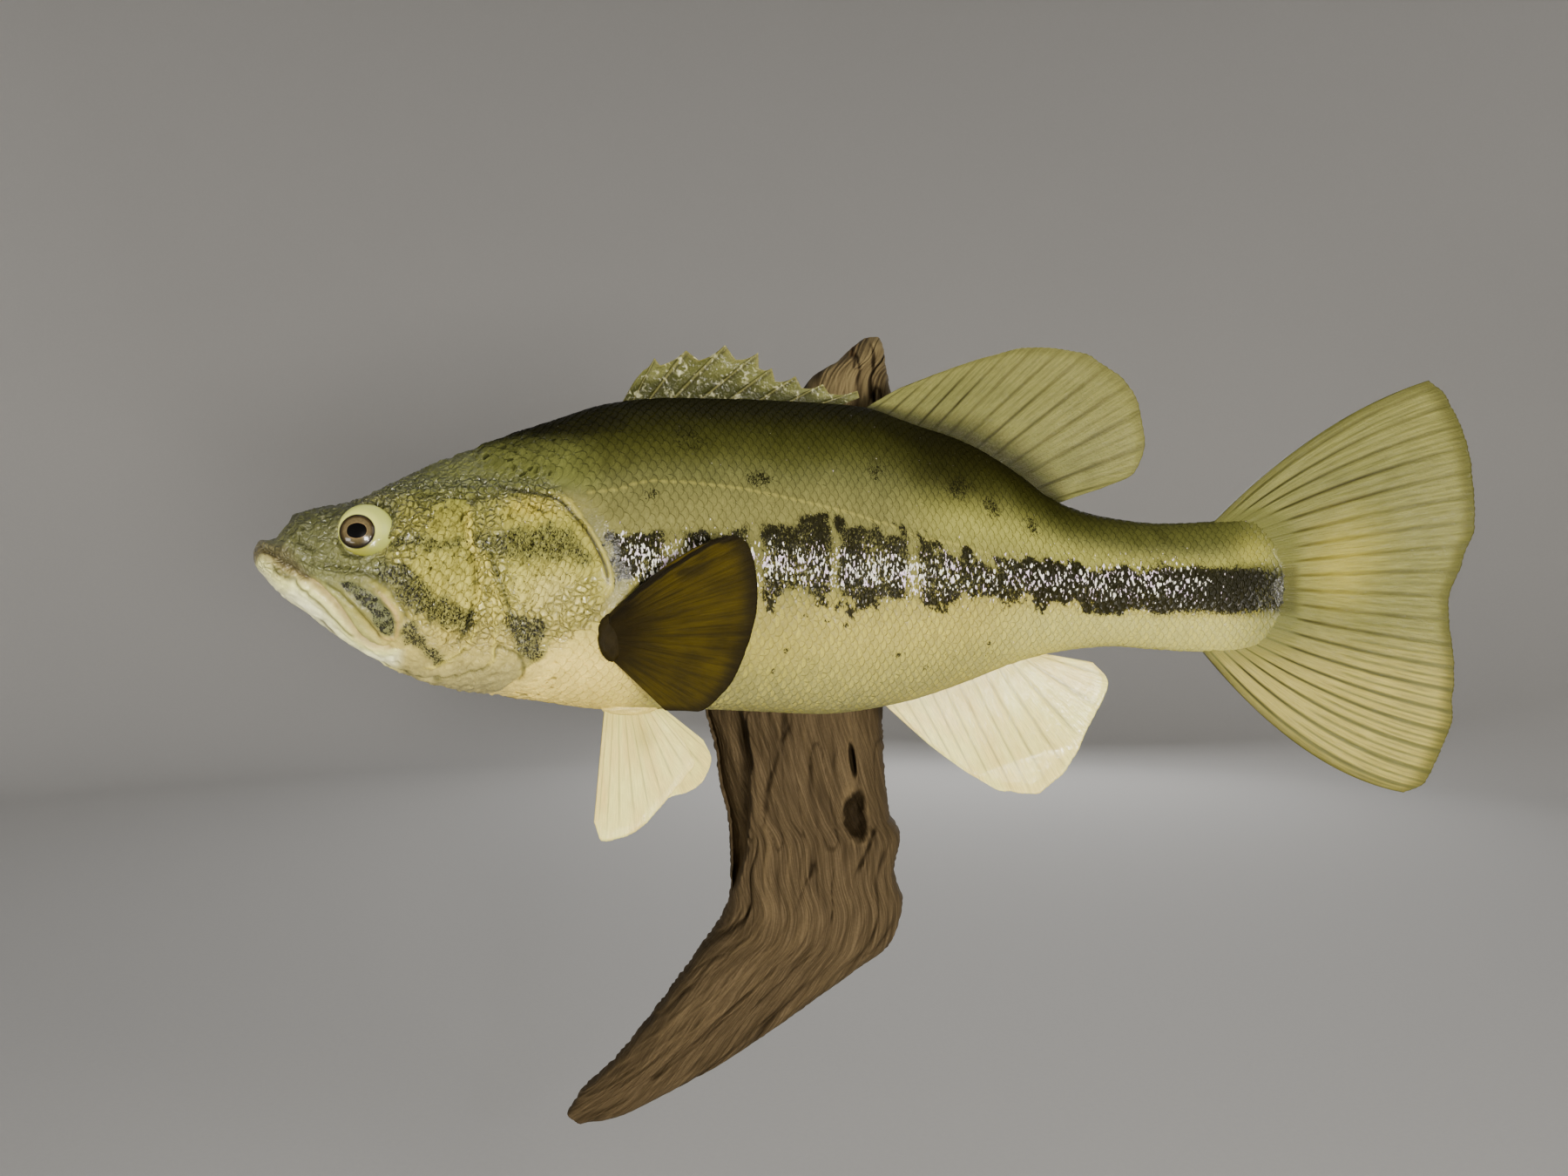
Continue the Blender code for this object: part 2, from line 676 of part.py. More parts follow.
def anal_fin(model, material):
    tips = soft_edge(ANAL_FIN, ANAL_FIN_RAYS)
    first, last = ANAL_FIN_ROOT
    roots = first + (last - first) * np.linspace(0.0, 1.0, len(tips))
    root = np.stack([roots, body_bottom(roots) - GAP], axis=-1)

    def side_of(along, up):
        hang = np.clip((body_bottom(along) - up) / 45.0, 0.0, 1.0)
        return ANAL_FIN_LEAN * hang**2

    grids = fin_grids(root, tips, side_of)
    add_object("anal_fin", slab(*grids, "anal_fin"), model, material)


def stalk_edge(columns):
    """Points spaced evenly round the end of the tail stalk, just clear of it."""
    upper = np.linspace(TAIL_FIN_ROOT[0], BODY_LENGTH, 40)
    lower = np.linspace(BODY_LENGTH, TAIL_FIN_ROOT[1], 40)
    route = np.concatenate([
        np.stack([upper + GAP, body_top(upper) + GAP], axis=-1),
        np.stack([lower + GAP, body_bottom(lower) - GAP], axis=-1),
    ])
    length = np.concatenate([[0.0], np.cumsum(np.linalg.norm(np.diff(route, axis=0), axis=1))])
    wanted = np.linspace(0.0, length[-1], columns)
    return np.stack([np.interp(wanted, length, route[:, k]) for k in (0, 1)], axis=-1)


def tail_fin(model, material):
    tips = soft_edge(TAIL_FIN, TAIL_FIN_RAYS)
    root = stalk_edge(len(tips))

    def side_of(along, up):
        back = np.clip((along - BODY_LENGTH) / (FISH_LENGTH - BODY_LENGTH), 0.0, 1.0)
        return TAIL_FIN_CUP * back * np.sin(up / 95.0 * np.pi) ** 2

    bow = flow(TAIL_FIN_BOW, np.linspace(0.0, 1.0, len(tips)))[:, 0]
    grids = fin_grids(root, tips, side_of, bow)
    add_object("tail_fin", slab(*grids, "tail_fin"), model, material)


def fit_lobed_fin(name, fin, lobe_at, lobe_sizes, facing, trunk, model, cutters):
    """Join a fin's blade to its fleshy root lobe, and sink the lobe in the trunk."""
    lobe_mesh = egg(name + "_lobe", lobe_at, [size * MM for size in lobe_sizes], *facing,
                    *LOBE_FACETS)
    socket = egg(name + "_socket", lobe_at, [(size + GAP) * MM for size in lobe_sizes], *facing,
                 *LOBE_FACETS)
    join_with(fin, make_cutter(lobe_mesh, cutters), "UNION")
    join_with(trunk, make_cutter(socket, cutters), "DIFFERENCE")


def pectoral_fin(name, hand, trunk, model, cutters, material):
    along, up = PECTORAL_ROOT
    side = body_side(along, up)
    low, high = up - PECTORAL_SPREAD, up + PECTORAL_SPREAD
    flare = (body_side(along, high) - body_side(along, low)) / (high - low)
    out = math.radians(PECTORAL_OUT if hand > 0 else PECTORAL_OUT_WALL)
    reach = 1.0 if hand > 0 else PECTORAL_WALL_REACH
    tips = soft_edge(PECTORAL_FAN, PECTORAL_RAYS)
    tips[:, 0] = along + (tips[:, 0] - along) * reach
    fan = np.linspace(1.0, -1.0, len(tips))
    ahead = PECTORAL_AHEAD * reach * np.sqrt(1.0 - (0.8 * fan) ** 2)
    root = np.stack([along + ahead, up + PECTORAL_SPREAD * fan], axis=-1)

    def side_of(at_along, at_up):
        lean = flare * np.clip(at_up - up, -PECTORAL_SPREAD, PECTORAL_SPREAD)
        return hand * (side + lean + (at_along - along) * math.tan(out))

    grids = fin_grids(root, tips, side_of, PECTORAL_BOW * np.clip(fan, 0.0, 1.0))
    fin = add_object(name, slab(*grids, name), model, material)
    facing = (heading_at(along) - hand * out, hand * math.atan(flare))
    fit_lobed_fin(name, fin, place(along, hand * side, up), PECTORAL_LOBE, facing, trunk, model,
                  cutters)


def pelvic_fin(name, hand, trunk, model, cutters, material):
    side, up = PELVIC_ROOT
    tips = soft_edge(PELVIC_LEFT if hand > 0 else PELVIC_RIGHT, PELVIC_RAYS)
    first, last = PELVIC_LEFT_ROOT if hand > 0 else PELVIC_RIGHT_ROOT
    roots = np.linspace(first, last, len(tips))
    root = np.stack([roots, np.full_like(roots, PELVIC_LEVEL)], axis=-1)

    def side_of(at_along, at_up):
        return hand * (side + PELVIC_SPLAY * (up - at_up))

    grids = fin_grids(root, tips, side_of)
    fin = add_object(name, slab(*grids, name), model, material)
    middle = (first + last) / 2.0
    facing = (heading_at(middle), 0.0)
    fit_lobed_fin(name, fin, place(middle, hand * side, up), PELVIC_LOBE, facing, trunk, model,
                  cutters)


# =============================================================================================
# Driftwood
# =============================================================================================
def wood_rings():
    """Sections across the driftwood: a full, grooved front and a flat back."""
    rows = np.array(DRIFTWOOD)
    steps = np.arange(len(rows), dtype=float)
    fine = np.linspace(0.0, steps[-1], WOOD_RINGS)
    left_x, left_z, right_x, right_z, front, back = flow(
        np.column_stack([steps, rows]), fine).T[:, :, None]
    across = (1.0 - np.cos(np.linspace(0.0, np.pi, WOOD_FRONT_POINTS))) / 2.0
    behind = np.linspace(1.0 - WOOD_BACK_EDGE, WOOD_BACK_EDGE, WOOD_BACK_POINTS)
    full = (1.0 - np.abs(2.0 * across - 1.0) ** WOOD_FULLNESS) ** (1.0 / WOOD_FULLNESS)
    waves = np.sin(2.0 * np.pi * WOOD_GROOVES * across + 0.35 * fine[:, None])
    grooves = WOOD_GROOVE_DEPTH * waves * full**2
    ledge = flow(WOOD_LEDGE, np.clip(left_z, -160.0, -50.0))[..., 0]
    step = WOOD_LEDGE_DEPTH * ledge * np.clip((0.3 - across) / 0.1, 0.0, 1.0)
    middle = back + WOOD_SIDE_DEPTH * (front - back)
    face = middle + (front - middle) * full - np.where(full > 0.5, grooves + step, 0.0)
    rear = back + 0.0 * behind
    share = np.concatenate([across, behind])[None, :]
    x = left_x + (right_x - left_x) * share
    z = left_z + (right_z - left_z) * share
    y = -np.concatenate([face, rear], axis=1)
    return np.stack([x, y, z], axis=-1) * MM


def driftwood(model, cutters, material):
    wood = add_object("driftwood", lofted(wood_rings(), "driftwood"), model, material)
    seat = make_cutter(lofted(body_rings(GAP), "fish_seat"), cutters)
    join_with(wood, seat, "DIFFERENCE")
    for k, (x, y, z, *half) in enumerate(WOOD_HOLLOWS):
        hollow = egg(f"hollow_{k}", (x * MM, y * MM, z * MM), [size * MM for size in half], 0.2,
                     around=10, levels=8)
        join_with(wood, make_cutter(hollow, cutters), "DIFFERENCE")


# =============================================================================================
# Build
# =============================================================================================
def main():
    start_clean()
    model = new_collection("mounted_largemouth_bass")
    cutters = new_collection("cutters")
    skin = paint("fish_skin", (0.33, 0.34, 0.13), 0.35, 0.6)
    bone = paint("head_plates", (0.36, 0.37, 0.15), 0.32, 0.6)
    glass = paint("eye_glass", (0.05, 0.03, 0.015), 0.05, 1.0)
    green_fin = paint("green_fins", (0.33, 0.36, 0.13), 0.4, 0.5)
    dark_fin = paint("pectoral_fins", (0.12, 0.1, 0.03), 0.45, 0.3)
    white_fin = paint("white_fins", (0.78, 0.77, 0.62), 0.45, 0.4)
    wood = paint("driftwood", (0.23, 0.17, 0.12), 0.85)

    body = part_body(model, cutters, skin)
    for hand, tail in ((1.0, "left"), (-1.0, "right")):
        fit_eye("eye_" + tail, hand, body["head"], model, cutters, glass)
        fit_plate("upper_jaw_" + tail, upper_jaw_spots, hand, body["head"], model, cutters, bone)
        fit_plate("gill_cover_" + tail, gill_spots, hand, body["head"], model, cutters, bone)
        pectoral_fin("pectoral_fin_" + tail, hand, body["trunk"], model, cutters, dark_fin)
        pelvic_fin("pelvic_fin_" + tail, hand, body["trunk"], model, cutters, white_fin)
    spiny_dorsal(model, green_fin)
    soft_dorsal(model, green_fin)
    tail_fin(model, green_fin)
    anal_fin(model, white_fin)
    driftwood(model, cutters, wood)


main()
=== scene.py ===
# %% [markdown]
# # A mounted largemouth bass on driftwood
# The plain solids of the mount are already made and weighed: a bass parted at its gills, mouth and tail,
# its fins and its piece of driftwood. This lesson dresses them: one skin over the whole fish, thousands of
# small scale plates on it, and eyes, fins and wood with the surfaces of the real ones. The frame is loaded
# first and never moved: it says where things are.

# %% Load the fixed frame
import itertools
import json
import math

import bpy
import numpy as np
from mathutils import Matrix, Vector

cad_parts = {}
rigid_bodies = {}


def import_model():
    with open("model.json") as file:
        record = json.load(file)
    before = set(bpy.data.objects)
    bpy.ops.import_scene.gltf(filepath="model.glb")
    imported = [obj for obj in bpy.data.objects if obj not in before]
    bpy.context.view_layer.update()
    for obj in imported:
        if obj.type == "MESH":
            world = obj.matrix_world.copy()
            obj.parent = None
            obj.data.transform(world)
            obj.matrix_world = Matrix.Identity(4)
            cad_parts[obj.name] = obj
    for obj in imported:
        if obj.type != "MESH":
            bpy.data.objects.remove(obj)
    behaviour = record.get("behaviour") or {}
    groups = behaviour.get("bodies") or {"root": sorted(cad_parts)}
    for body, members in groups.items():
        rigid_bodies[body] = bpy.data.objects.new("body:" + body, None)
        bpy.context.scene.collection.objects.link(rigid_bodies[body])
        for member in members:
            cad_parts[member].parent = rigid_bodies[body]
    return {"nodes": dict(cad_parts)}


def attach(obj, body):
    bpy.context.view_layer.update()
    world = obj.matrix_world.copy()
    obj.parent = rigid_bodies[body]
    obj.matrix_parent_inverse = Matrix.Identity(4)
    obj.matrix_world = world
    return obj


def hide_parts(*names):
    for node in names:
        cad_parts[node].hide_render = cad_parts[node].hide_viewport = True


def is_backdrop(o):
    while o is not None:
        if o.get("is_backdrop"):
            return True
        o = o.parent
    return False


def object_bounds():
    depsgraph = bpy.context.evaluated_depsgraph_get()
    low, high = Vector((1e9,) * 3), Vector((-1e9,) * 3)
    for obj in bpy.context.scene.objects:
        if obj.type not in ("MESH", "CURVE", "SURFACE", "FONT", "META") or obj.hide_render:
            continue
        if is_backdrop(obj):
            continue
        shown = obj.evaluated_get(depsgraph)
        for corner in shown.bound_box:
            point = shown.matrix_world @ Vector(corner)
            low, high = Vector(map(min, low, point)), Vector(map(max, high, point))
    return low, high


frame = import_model()
cad_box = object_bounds()
print("frame:", len(frame["nodes"]), "solids, from", tuple(cad_box[0]), "to", tuple(cad_box[1]))

# %% [markdown]
# ## The camera
# The mount hangs on a wall, the plane y = 0, and is seen from straight in front, close by and with a short
# lens, so the head, which stands further out than the tail, looks a little larger. A longer lens from
# further off would flatten that.

# %% Camera
CAMERA_BACK = 0.665             # metres out from the wall
LENS = 28                       # millimetres, on a sensor 36 mm wide

camera_data = bpy.data.cameras.new("camera")
camera_data.lens = LENS
camera_data.sensor_width = 36
camera_data.clip_start = 0.02
camera = bpy.data.objects.new("camera", camera_data)
camera.location = (0, -CAMERA_BACK, 0)
camera.rotation_euler = (math.pi / 2, 0, 0)
bpy.context.scene.collection.objects.link(camera)
bpy.context.scene.camera = camera
print("camera:", LENS, "mm lens,", CAMERA_BACK, "m from the wall plane")

# %% [markdown]
# ## Meshes from arrays
# Every new piece is a surface worked out with numpy: an array of points and arrays of faces that number
# them, which Blender takes at once with foreach_set. Most pieces are grids, so one helper numbers a grid's
# faces, another closes its ends, and new_piece turns all faces outwards: the signed volume of a closed
# shape is negative when they look inwards.

# %% Mesh helpers
MM = 0.001
ROOT = "root"
SIDES = ((1, "left"), (-1, "right"))


def grid_faces(rows, columns, wrap=False):
    """Four corners of each cell of a grid numbered row by row; wrap joins its last column to its first."""
    across = np.arange(columns if wrap else columns - 1)
    start = np.arange(rows - 1)[:, None] * columns
    following = (across + 1) % columns
    cells = [start + across, start + following, start + columns + following, start + columns + across]
    return np.stack(cells, axis=-1).reshape(-1, 4)


def fan_faces(ring, middle):
    """Triangles from each run of a ring of point numbers to one point in its middle."""
    return np.stack([ring, np.roll(ring, -1), np.full(len(ring), middle)], axis=-1)


def closed_faces(rows, around):
    """Faces of rings, each of this many points, closed at both ends by a middle point numbered last."""
    count = rows * around
    ring = np.arange(around)
    return [
        grid_faces(rows, around, wrap=True),
        np.concatenate([fan_faces(ring[::-1], count), fan_faces(ring + count - around, count + 1)])]


def closed_points(rings, first, last):
    """Rings of values as one list, with the two values at the middle points of the ends added."""
    flat = rings.reshape(-1, *np.shape(first))
    return np.concatenate([flat, [first, last]])


def signed_volume(points, faces):
    """Sum over the faces, cut into triangles, of the volume between each one and the origin."""
    total = 0
    for k in range(1, faces.shape[1] - 1):
        a, b, c = (points[faces[:, j]] for j in (0, k, k + 1))
        total += float(np.einsum("ij,ij->", a, np.cross(b, c))) / 6
    return total


def new_object(name, points, face_sets, material):
    """A smooth mesh of points in metres and arrays of faces."""
    corners = np.concatenate([faces.ravel() for faces in face_sets])
    sizes = np.concatenate([np.full(len(faces), faces.shape[1]) for faces in face_sets])
    mesh = bpy.data.meshes.new(name)
    mesh.vertices.add(len(points))
    mesh.vertices.foreach_set("co", points.ravel())
    mesh.loops.add(len(corners))
    mesh.loops.foreach_set("vertex_index", corners.astype(np.int32))
    mesh.polygons.add(len(sizes))
    mesh.polygons.foreach_set("loop_start", np.concatenate([[0], np.cumsum(sizes)[:-1]]).astype(np.int32))
    mesh.update(calc_edges=True)
    mesh.validate()
    mesh.polygons.foreach_set("use_smooth", np.ones(len(mesh.polygons), bool))
    mesh.materials.append(material)
    made = bpy.data.objects.new(name, mesh)
    bpy.context.scene.collection.objects.link(made)
    return made


def new_piece(name, points, face_sets, material, instead_of=()):
    """A closed piece with its faces turned outwards, hung on the frame."""
    points = points.reshape(-1, 3)
    if sum(signed_volume(points, faces) for faces in face_sets) < 0:
        face_sets = [faces[:, ::-1] for faces in face_sets]
    piece = new_object(name, points, face_sets, material)
    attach(piece, ROOT)
    if instead_of:
        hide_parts(*instead_of)
    triangles = sum(len(faces) * (faces.shape[1] - 2) for faces in face_sets)
    print(f"{name}: {len(points)} points, {triangles} triangles")
    return piece


def mark(piece, name, values):
    """Keep one number, or one colour of three, at each point, for the material to read."""
    values = np.asarray(values, dtype=np.float32)
    if values.ndim == 1:
        kept = piece.data.attributes.new(name, "FLOAT", "POINT")
        kept.data.foreach_set("value", values)
    else:
        kept = piece.data.attributes.new(name, "FLOAT_COLOR", "POINT")
        solid = np.concatenate([values, np.ones((len(values), 1), np.float32)], axis=1)
        kept.data.foreach_set("color", solid.ravel())


def lay_out(piece, name, across, down):
    """Give the mesh a UV map from two numbers at each point."""
    corners = np.zeros(len(piece.data.loops), np.int32)
    piece.data.loops.foreach_get("vertex_index", corners)
    spots = np.stack([across, down], axis=-1)[corners]
    layer = piece.data.uv_layers.new(name=name)
    layer.uv.foreach_set("vector", spots.astype(np.float32).ravel())


# %% [markdown]
# ## Smooth curves and soft randomness
# A handful of rows can describe a long curve if something smooth is drawn through them. flow does that
# without swinging past the rows, as a plain spline would. Wrinkles, ragged markings and grain need
# randomness that is smooth too and the same on every run: soft_random puts a scrambled number on each
# corner of a lattice and blends between the corners.

# %% Curves and randomness


def flow(rows, at):
    """Read a smooth curve through rows of (knot, values), a cubic whose slopes never overshoot."""
    rows = np.array(rows, dtype=float)
    at = np.clip(np.asarray(at, dtype=float), rows[0, 0], rows[-1, 0])
    knots = rows[:, 0]
    values = rows[:, 1:]
    slopes = np.diff(values, axis=0) / np.diff(knots)[:, None]
    tangents = np.zeros_like(values)
    tangents[0] = slopes[0]
    tangents[-1] = slopes[-1]
    before, after = slopes[:-1], slopes[1:]
    rising = before * after > 0
    total = np.where(rising, before + after, 1)
    tangents[1:-1] = np.where(rising, 2 * before * after / total, 0)
    k = np.clip(np.searchsorted(knots, at, side="right") - 1, 0, len(knots) - 2)
    width = (knots[k + 1] - knots[k])[..., None]
    t = (at[..., None] - knots[k][..., None]) / width
    return (
        values[k] * (2 * t**3 - 3 * t**2 + 1)
        + tangents[k] * width * (t**3 - 2 * t**2 + t)
        + values[k + 1] * (3 * t**2 - 2 * t**3)
        + tangents[k + 1] * width * (t**3 - t**2)
    )


def ease(value, low, high):
    """0 at low, 1 at high and beyond, with soft ends; low may be above high."""
    t = np.clip((value - low) / (high - low), 0, 1)
    return t * t * (3 - 2 * t)


def scramble(cells, seed):
    """A number from -1 to 1 for each whole-number corner, from its coordinates and a seed."""
    mixers = np.array([73856093, 19349663, 83492791])[: cells.shape[-1]]
    mixed = (cells * mixers).sum(axis=-1) + seed * 2654435761
    mixed = (mixed ^ (mixed >> 13)) * 1274126177 & 0x7FFFFFFF
    mixed = (mixed ^ (mixed >> 16)) * 668265263 & 0x7FFFFFFF
    return mixed / 0x3FFFFFFF - 1


def spots_of(parts):
    """Places as one array, from such an array or from a tuple with an array for each coordinate."""
    if isinstance(parts, tuple):
        parts = np.stack(np.broadcast_arrays(*parts), axis=-1).astype(float)
    return parts


def soft_random(spots, seed):
    """Lattice noise from -1 to 1: corner numbers blended by a smooth step along each axis."""
    spots = spots_of(spots)
    cells = np.floor(spots).astype(np.int64)
    inside = spots - cells
    inside = inside * inside * (3 - 2 * inside)
    total = np.zeros(spots.shape[:-1])
    for corner in itertools.product((0, 1), repeat=spots.shape[-1]):
        weight = np.prod(np.where(corner, inside, 1 - inside), axis=-1)
        total += weight * scramble(cells + np.array(corner), seed)
    return total


def roughen(spots, seed, layers=3):
    """Several layers of soft_random, each twice as fine and half as strong as the one before."""
    spots = spots_of(spots)
    return sum(soft_random(spots * 2**k, seed + 31 * k) / 2**k for k in range(layers))


print("a soft random number:", round(float(soft_random(np.array([[0.5, 0.5]]), 1)[0]), 3))

# %% [markdown]
# ## Where things are on the fish
# The fish bends, so a place on it is named by how far it is along the body's own curved axis, how far to
# the side and how far up, in millimetres, as a taxidermist measures with a tape. One function turns such
# places into world points, and every piece of the fish goes through it, so they all bend together.

# %% The bent axis
JAW_TIP = (-212, -178)          # x and y of the lower jaw's tip
HEAD_TURN = 23                  # the head points away from the wall by this, degrees
TAIL_TURN = -6
BEND_START = 40
BEND_LENGTH = 440
BODY_LENGTH = 463               # jaw tip to the end of the fleshy tail stalk
FISH_LENGTH = 543


def lay_axis():
    """Walk along the body with a heading that eases from HEAD_TURN to TAIL_TURN by a cosine."""
    step = 0.5
    along = np.arange(-30, FISH_LENGTH + 30 + step, step)
    turned = np.clip((along - BEND_START) / BEND_LENGTH, 0, 1)
    middle = (HEAD_TURN + TAIL_TURN) / 2
    swing = (HEAD_TURN - TAIL_TURN) / 2
    heading = np.radians(middle + swing * np.cos(np.pi * turned))
    x = np.cumsum(np.cos(heading)) * step
    y = np.cumsum(np.sin(heading)) * step
    x += JAW_TIP[0] - np.interp(0, along, x)
    y += JAW_TIP[1] - np.interp(0, along, y)
    return along, x, y, heading


AXIS = lay_axis()


def place(along, side, up):
    """World points in metres: walk along the axis, then step sideways across its heading."""
    along, side, up = np.broadcast_arrays(along, side, up)
    steps, axis_x, axis_y, axis_heading = AXIS
    heading = np.interp(along, steps, axis_heading)
    x = np.interp(along, steps, axis_x) + side * np.sin(heading)
    y = np.interp(along, steps, axis_y) - side * np.cos(heading)
    return np.stack([x, y, up + 0 * x], axis=-1) * MM


print("tail fin tip at", place(FISH_LENGTH, 0, 0).round(3))

# %% [markdown]
# ## The bare body
# The body is a stack of sections. Each is a superellipse, a circle squashed and made squarer, given by the
# heights of its top and bottom, the level where it is widest and its half width. Half a section is enough,
# as both sides are alike. Its points are spaced evenly, so a share of 0 is the ridge of the back and 1 the
# middle of the belly, and the girth turns a share into millimetres of skin. Markings, wrinkles and scales
# are laid out on that unrolled skin.

# %% Sections of the bare body
# along, top, bottom, level of the widest place, half width
BODY = (
    (0, 17, 9, 13, 5), (3, 19, 5.5, 12.5, 9.5), (8, 20, -0.5, 11, 14), (11.5, 24.5, -4, 11, 16.5),
    (15, 29.5, -7, 11, 18.5), (22, 32, -12.5, 10, 21), (33, 34.5, -21, 9, 24), (45, 39, -29, 7.5, 27),
    (60, 47.5, -37, 6, 31), (80, 57, -43.5, 6, 35.5), (100, 66, -47, 8, 40), (120, 73.8, -51, 11, 44),
    (145, 82.4, -54.5, 13, 47), (175, 86, -55, 13, 48.5), (210, 86.6, -57, 12, 49), (245, 86, -59, 11, 47.5),
    (262, 84.8, -57.5, 10.5, 45.5), (285, 77.5, -53.3, 10, 42), (310, 69.5, -45.5, 8.5, 36.5),
    (335, 55.5, -36, 6, 29), (355, 41, -30.8, 4, 22.5), (380, 33.5, -28.3, 2.5, 16.5),
    (405, 30.8, -30, 1, 12.5), (430, 32, -31, 0, 8.8), (446, 34.6, -31, 0, 5.2),
    (455, 31.6, -28.6, 0.5, 3.2), (460, 26, -23, 1, 2.2), (463, 18, -14, 2, 1.3),
)
# along, then how square the section is above and below its widest level: 2 is an ellipse
ROUNDNESS = (
    (0, 2, 2), (40, 2.6, 1.9), (90, 2.1, 1.9), (160, 2, 2.25), (260, 2, 2.2), (340, 2, 2), (463, 2.1, 2.1),
)
NOSE_ROUND = 2.5                # the tip of the jaw closes over this length
HALF_POINTS = 181               # points from the ridge to the belly


def half_rings(along):
    """Side and up of half sections, evenly spaced by length, and the length of skin on each.

    side = half width * sin(angle) ** (2 / power), up = height * cos(angle) ** (2 / power).
    """
    top, bottom, wide, half = flow(BODY, along).T[:, :, None]
    over, under = flow(ROUNDNESS, along).T[:, :, None]
    closing = np.sqrt(1 - (1 - np.clip(along / NOSE_ROUND, 0, 1)) ** 2)[:, None]
    angle = np.linspace(0, np.pi, 401)[None, :]
    rise = np.cos(angle)
    power = 2 / np.where(rise > 0, over, under)
    reach = np.where(rise > 0, top - wide, wide - bottom)
    up = wide + closing * reach * np.sign(rise) * np.abs(rise) ** power
    side = closing * half * np.clip(np.sin(angle), 0, 1) ** power
    steps = np.hypot(np.diff(side, axis=1), np.diff(up, axis=1))
    run = np.concatenate([np.zeros((len(along), 1)), np.cumsum(steps, axis=1)], axis=1)
    even = np.linspace(0, 1, HALF_POINTS)
    sides = np.array([np.interp(even * r[-1], r, s) for r, s in zip(run, side)])
    ups = np.array([np.interp(even * r[-1], r, u) for r, u in zip(run, up)])
    return sides, ups, run[:, -1]


def body_top(along):
    return flow(BODY, along)[..., 0]


def body_bottom(along):
    return flow(BODY, along)[..., 1]


def body_side(along, up):
    """Half width at a place in side view, from the section's own equation."""
    top, bottom, wide, half = np.moveaxis(flow(BODY, along), -1, 0)
    over, under = np.moveaxis(flow(ROUNDNESS, along), -1, 0)
    reach = np.where(up > wide, top - wide, wide - bottom)
    power = np.where(up > wide, over, under)
    part = np.clip(np.abs(up - wide) / reach, 0, 0.999)
    return half * (1 - part**power) ** (1 / power)


TABLE_STEP = 0.5
TABLE_ALONG = np.arange(0.25, BODY_LENGTH + 0.1, TABLE_STEP)
TABLE_UP, TABLE_GIRTH = half_rings(TABLE_ALONG)[1:]


def read_grid(grid, row, column):
    """Read a grid between whole rows and columns, blending its four nearest values."""
    i, j = np.floor(row).astype(int), np.floor(column).astype(int)
    a, b = row - i, column - j
    if grid.ndim > 2:
        a, b = a[..., None], b[..., None]
    j0, j1 = j % grid.shape[1], (j + 1) % grid.shape[1]
    near = grid[i, j0] * (1 - b) + grid[i, j1] * b
    far = grid[i + 1, j0] * (1 - b) + grid[i + 1, j1] * b
    return near * (1 - a) + far * a


def girth_at(along):
    return np.interp(along, TABLE_ALONG, TABLE_GIRTH)


def up_at(along, arc):
    """Height of a place on the unrolled skin."""
    row = np.clip((along - TABLE_ALONG[0]) / TABLE_STEP, 0, len(TABLE_ALONG) - 1.001)
    column = np.clip(arc / girth_at(along), 0, 1) * (HALF_POINTS - 1.001)
    return read_grid(TABLE_UP, row, column)


def arc_at(along, up):
    """Millimetres of skin from the ridge down to a place given by its height."""
    along, up = np.atleast_1d(along), np.atleast_1d(up)
    rows = np.round((along - TABLE_ALONG[0]) / TABLE_STEP).astype(int)
    rows = np.clip(rows, 0, len(TABLE_ALONG) - 1)
    even = np.linspace(0, 1, HALF_POINTS)
    return np.array([np.interp(-u, -TABLE_UP[r], even) * TABLE_GIRTH[r] for r, u in zip(rows, up)])


print("skin from ridge to belly at mid body:", round(float(girth_at(230))), "mm")

# %% [markdown]
# ## Lines and patches on the skin
# A fold, a ridge of bone or a stripe is a line on the unrolled skin, and what it does at a place depends
# only on how far that place is from it. So two measures are enough: the distance to a line, with the side
# that a place is on, and the distance into a closed outline. A few places give each line, and flow joins
# them into a smooth route.

# %% Measures on the unrolled skin


def run_of(route):
    """Distance along a route of points to each of them."""
    return np.append(0, np.cumsum(np.linalg.norm(np.diff(route, axis=0), axis=1)))


def smooth_route(places, count=36):
    """Lay a line given in (along, up) on the unrolled skin and read it smoothly at even steps."""
    places = np.array(places, dtype=float)
    laid = np.stack([places[:, 0], arc_at(places[:, 0], places[:, 1])], axis=-1)
    run = run_of(laid)
    return flow(np.column_stack([run, laid]), np.linspace(0, run[-1], count))


def line_gap(along, arc, route):
    """Distance from each place to a route, how far along it (0 to 1), and the side: 1 or -1."""
    best = np.full(along.shape, np.inf)
    side = np.zeros(along.shape)
    reached = np.zeros(along.shape)
    for k, ((a0, v0), (a1, v1)) in enumerate(zip(route[:-1], route[1:])):
        run_a, run_v = a1 - a0, v1 - v0
        t = np.clip(((along - a0) * run_a + (arc - v0) * run_v) / (run_a**2 + run_v**2), 0, 1)
        gap_a, gap_v = along - a0 - t * run_a, arc - v0 - t * run_v
        gap = np.hypot(gap_a, gap_v)
        nearer = gap < best
        best = np.where(nearer, gap, best)
        side = np.where(nearer, np.sign(run_a * gap_v - run_v * gap_a), side)
        reached = np.where(nearer, (k + t) / (len(route) - 1), reached)
    return best, reached, side


def gap_to(along, arc, places, count=36):
    """Distance from each place to the smooth line through a few places, as line_gap gives it."""
    return line_gap(along, arc, smooth_route(places, count))


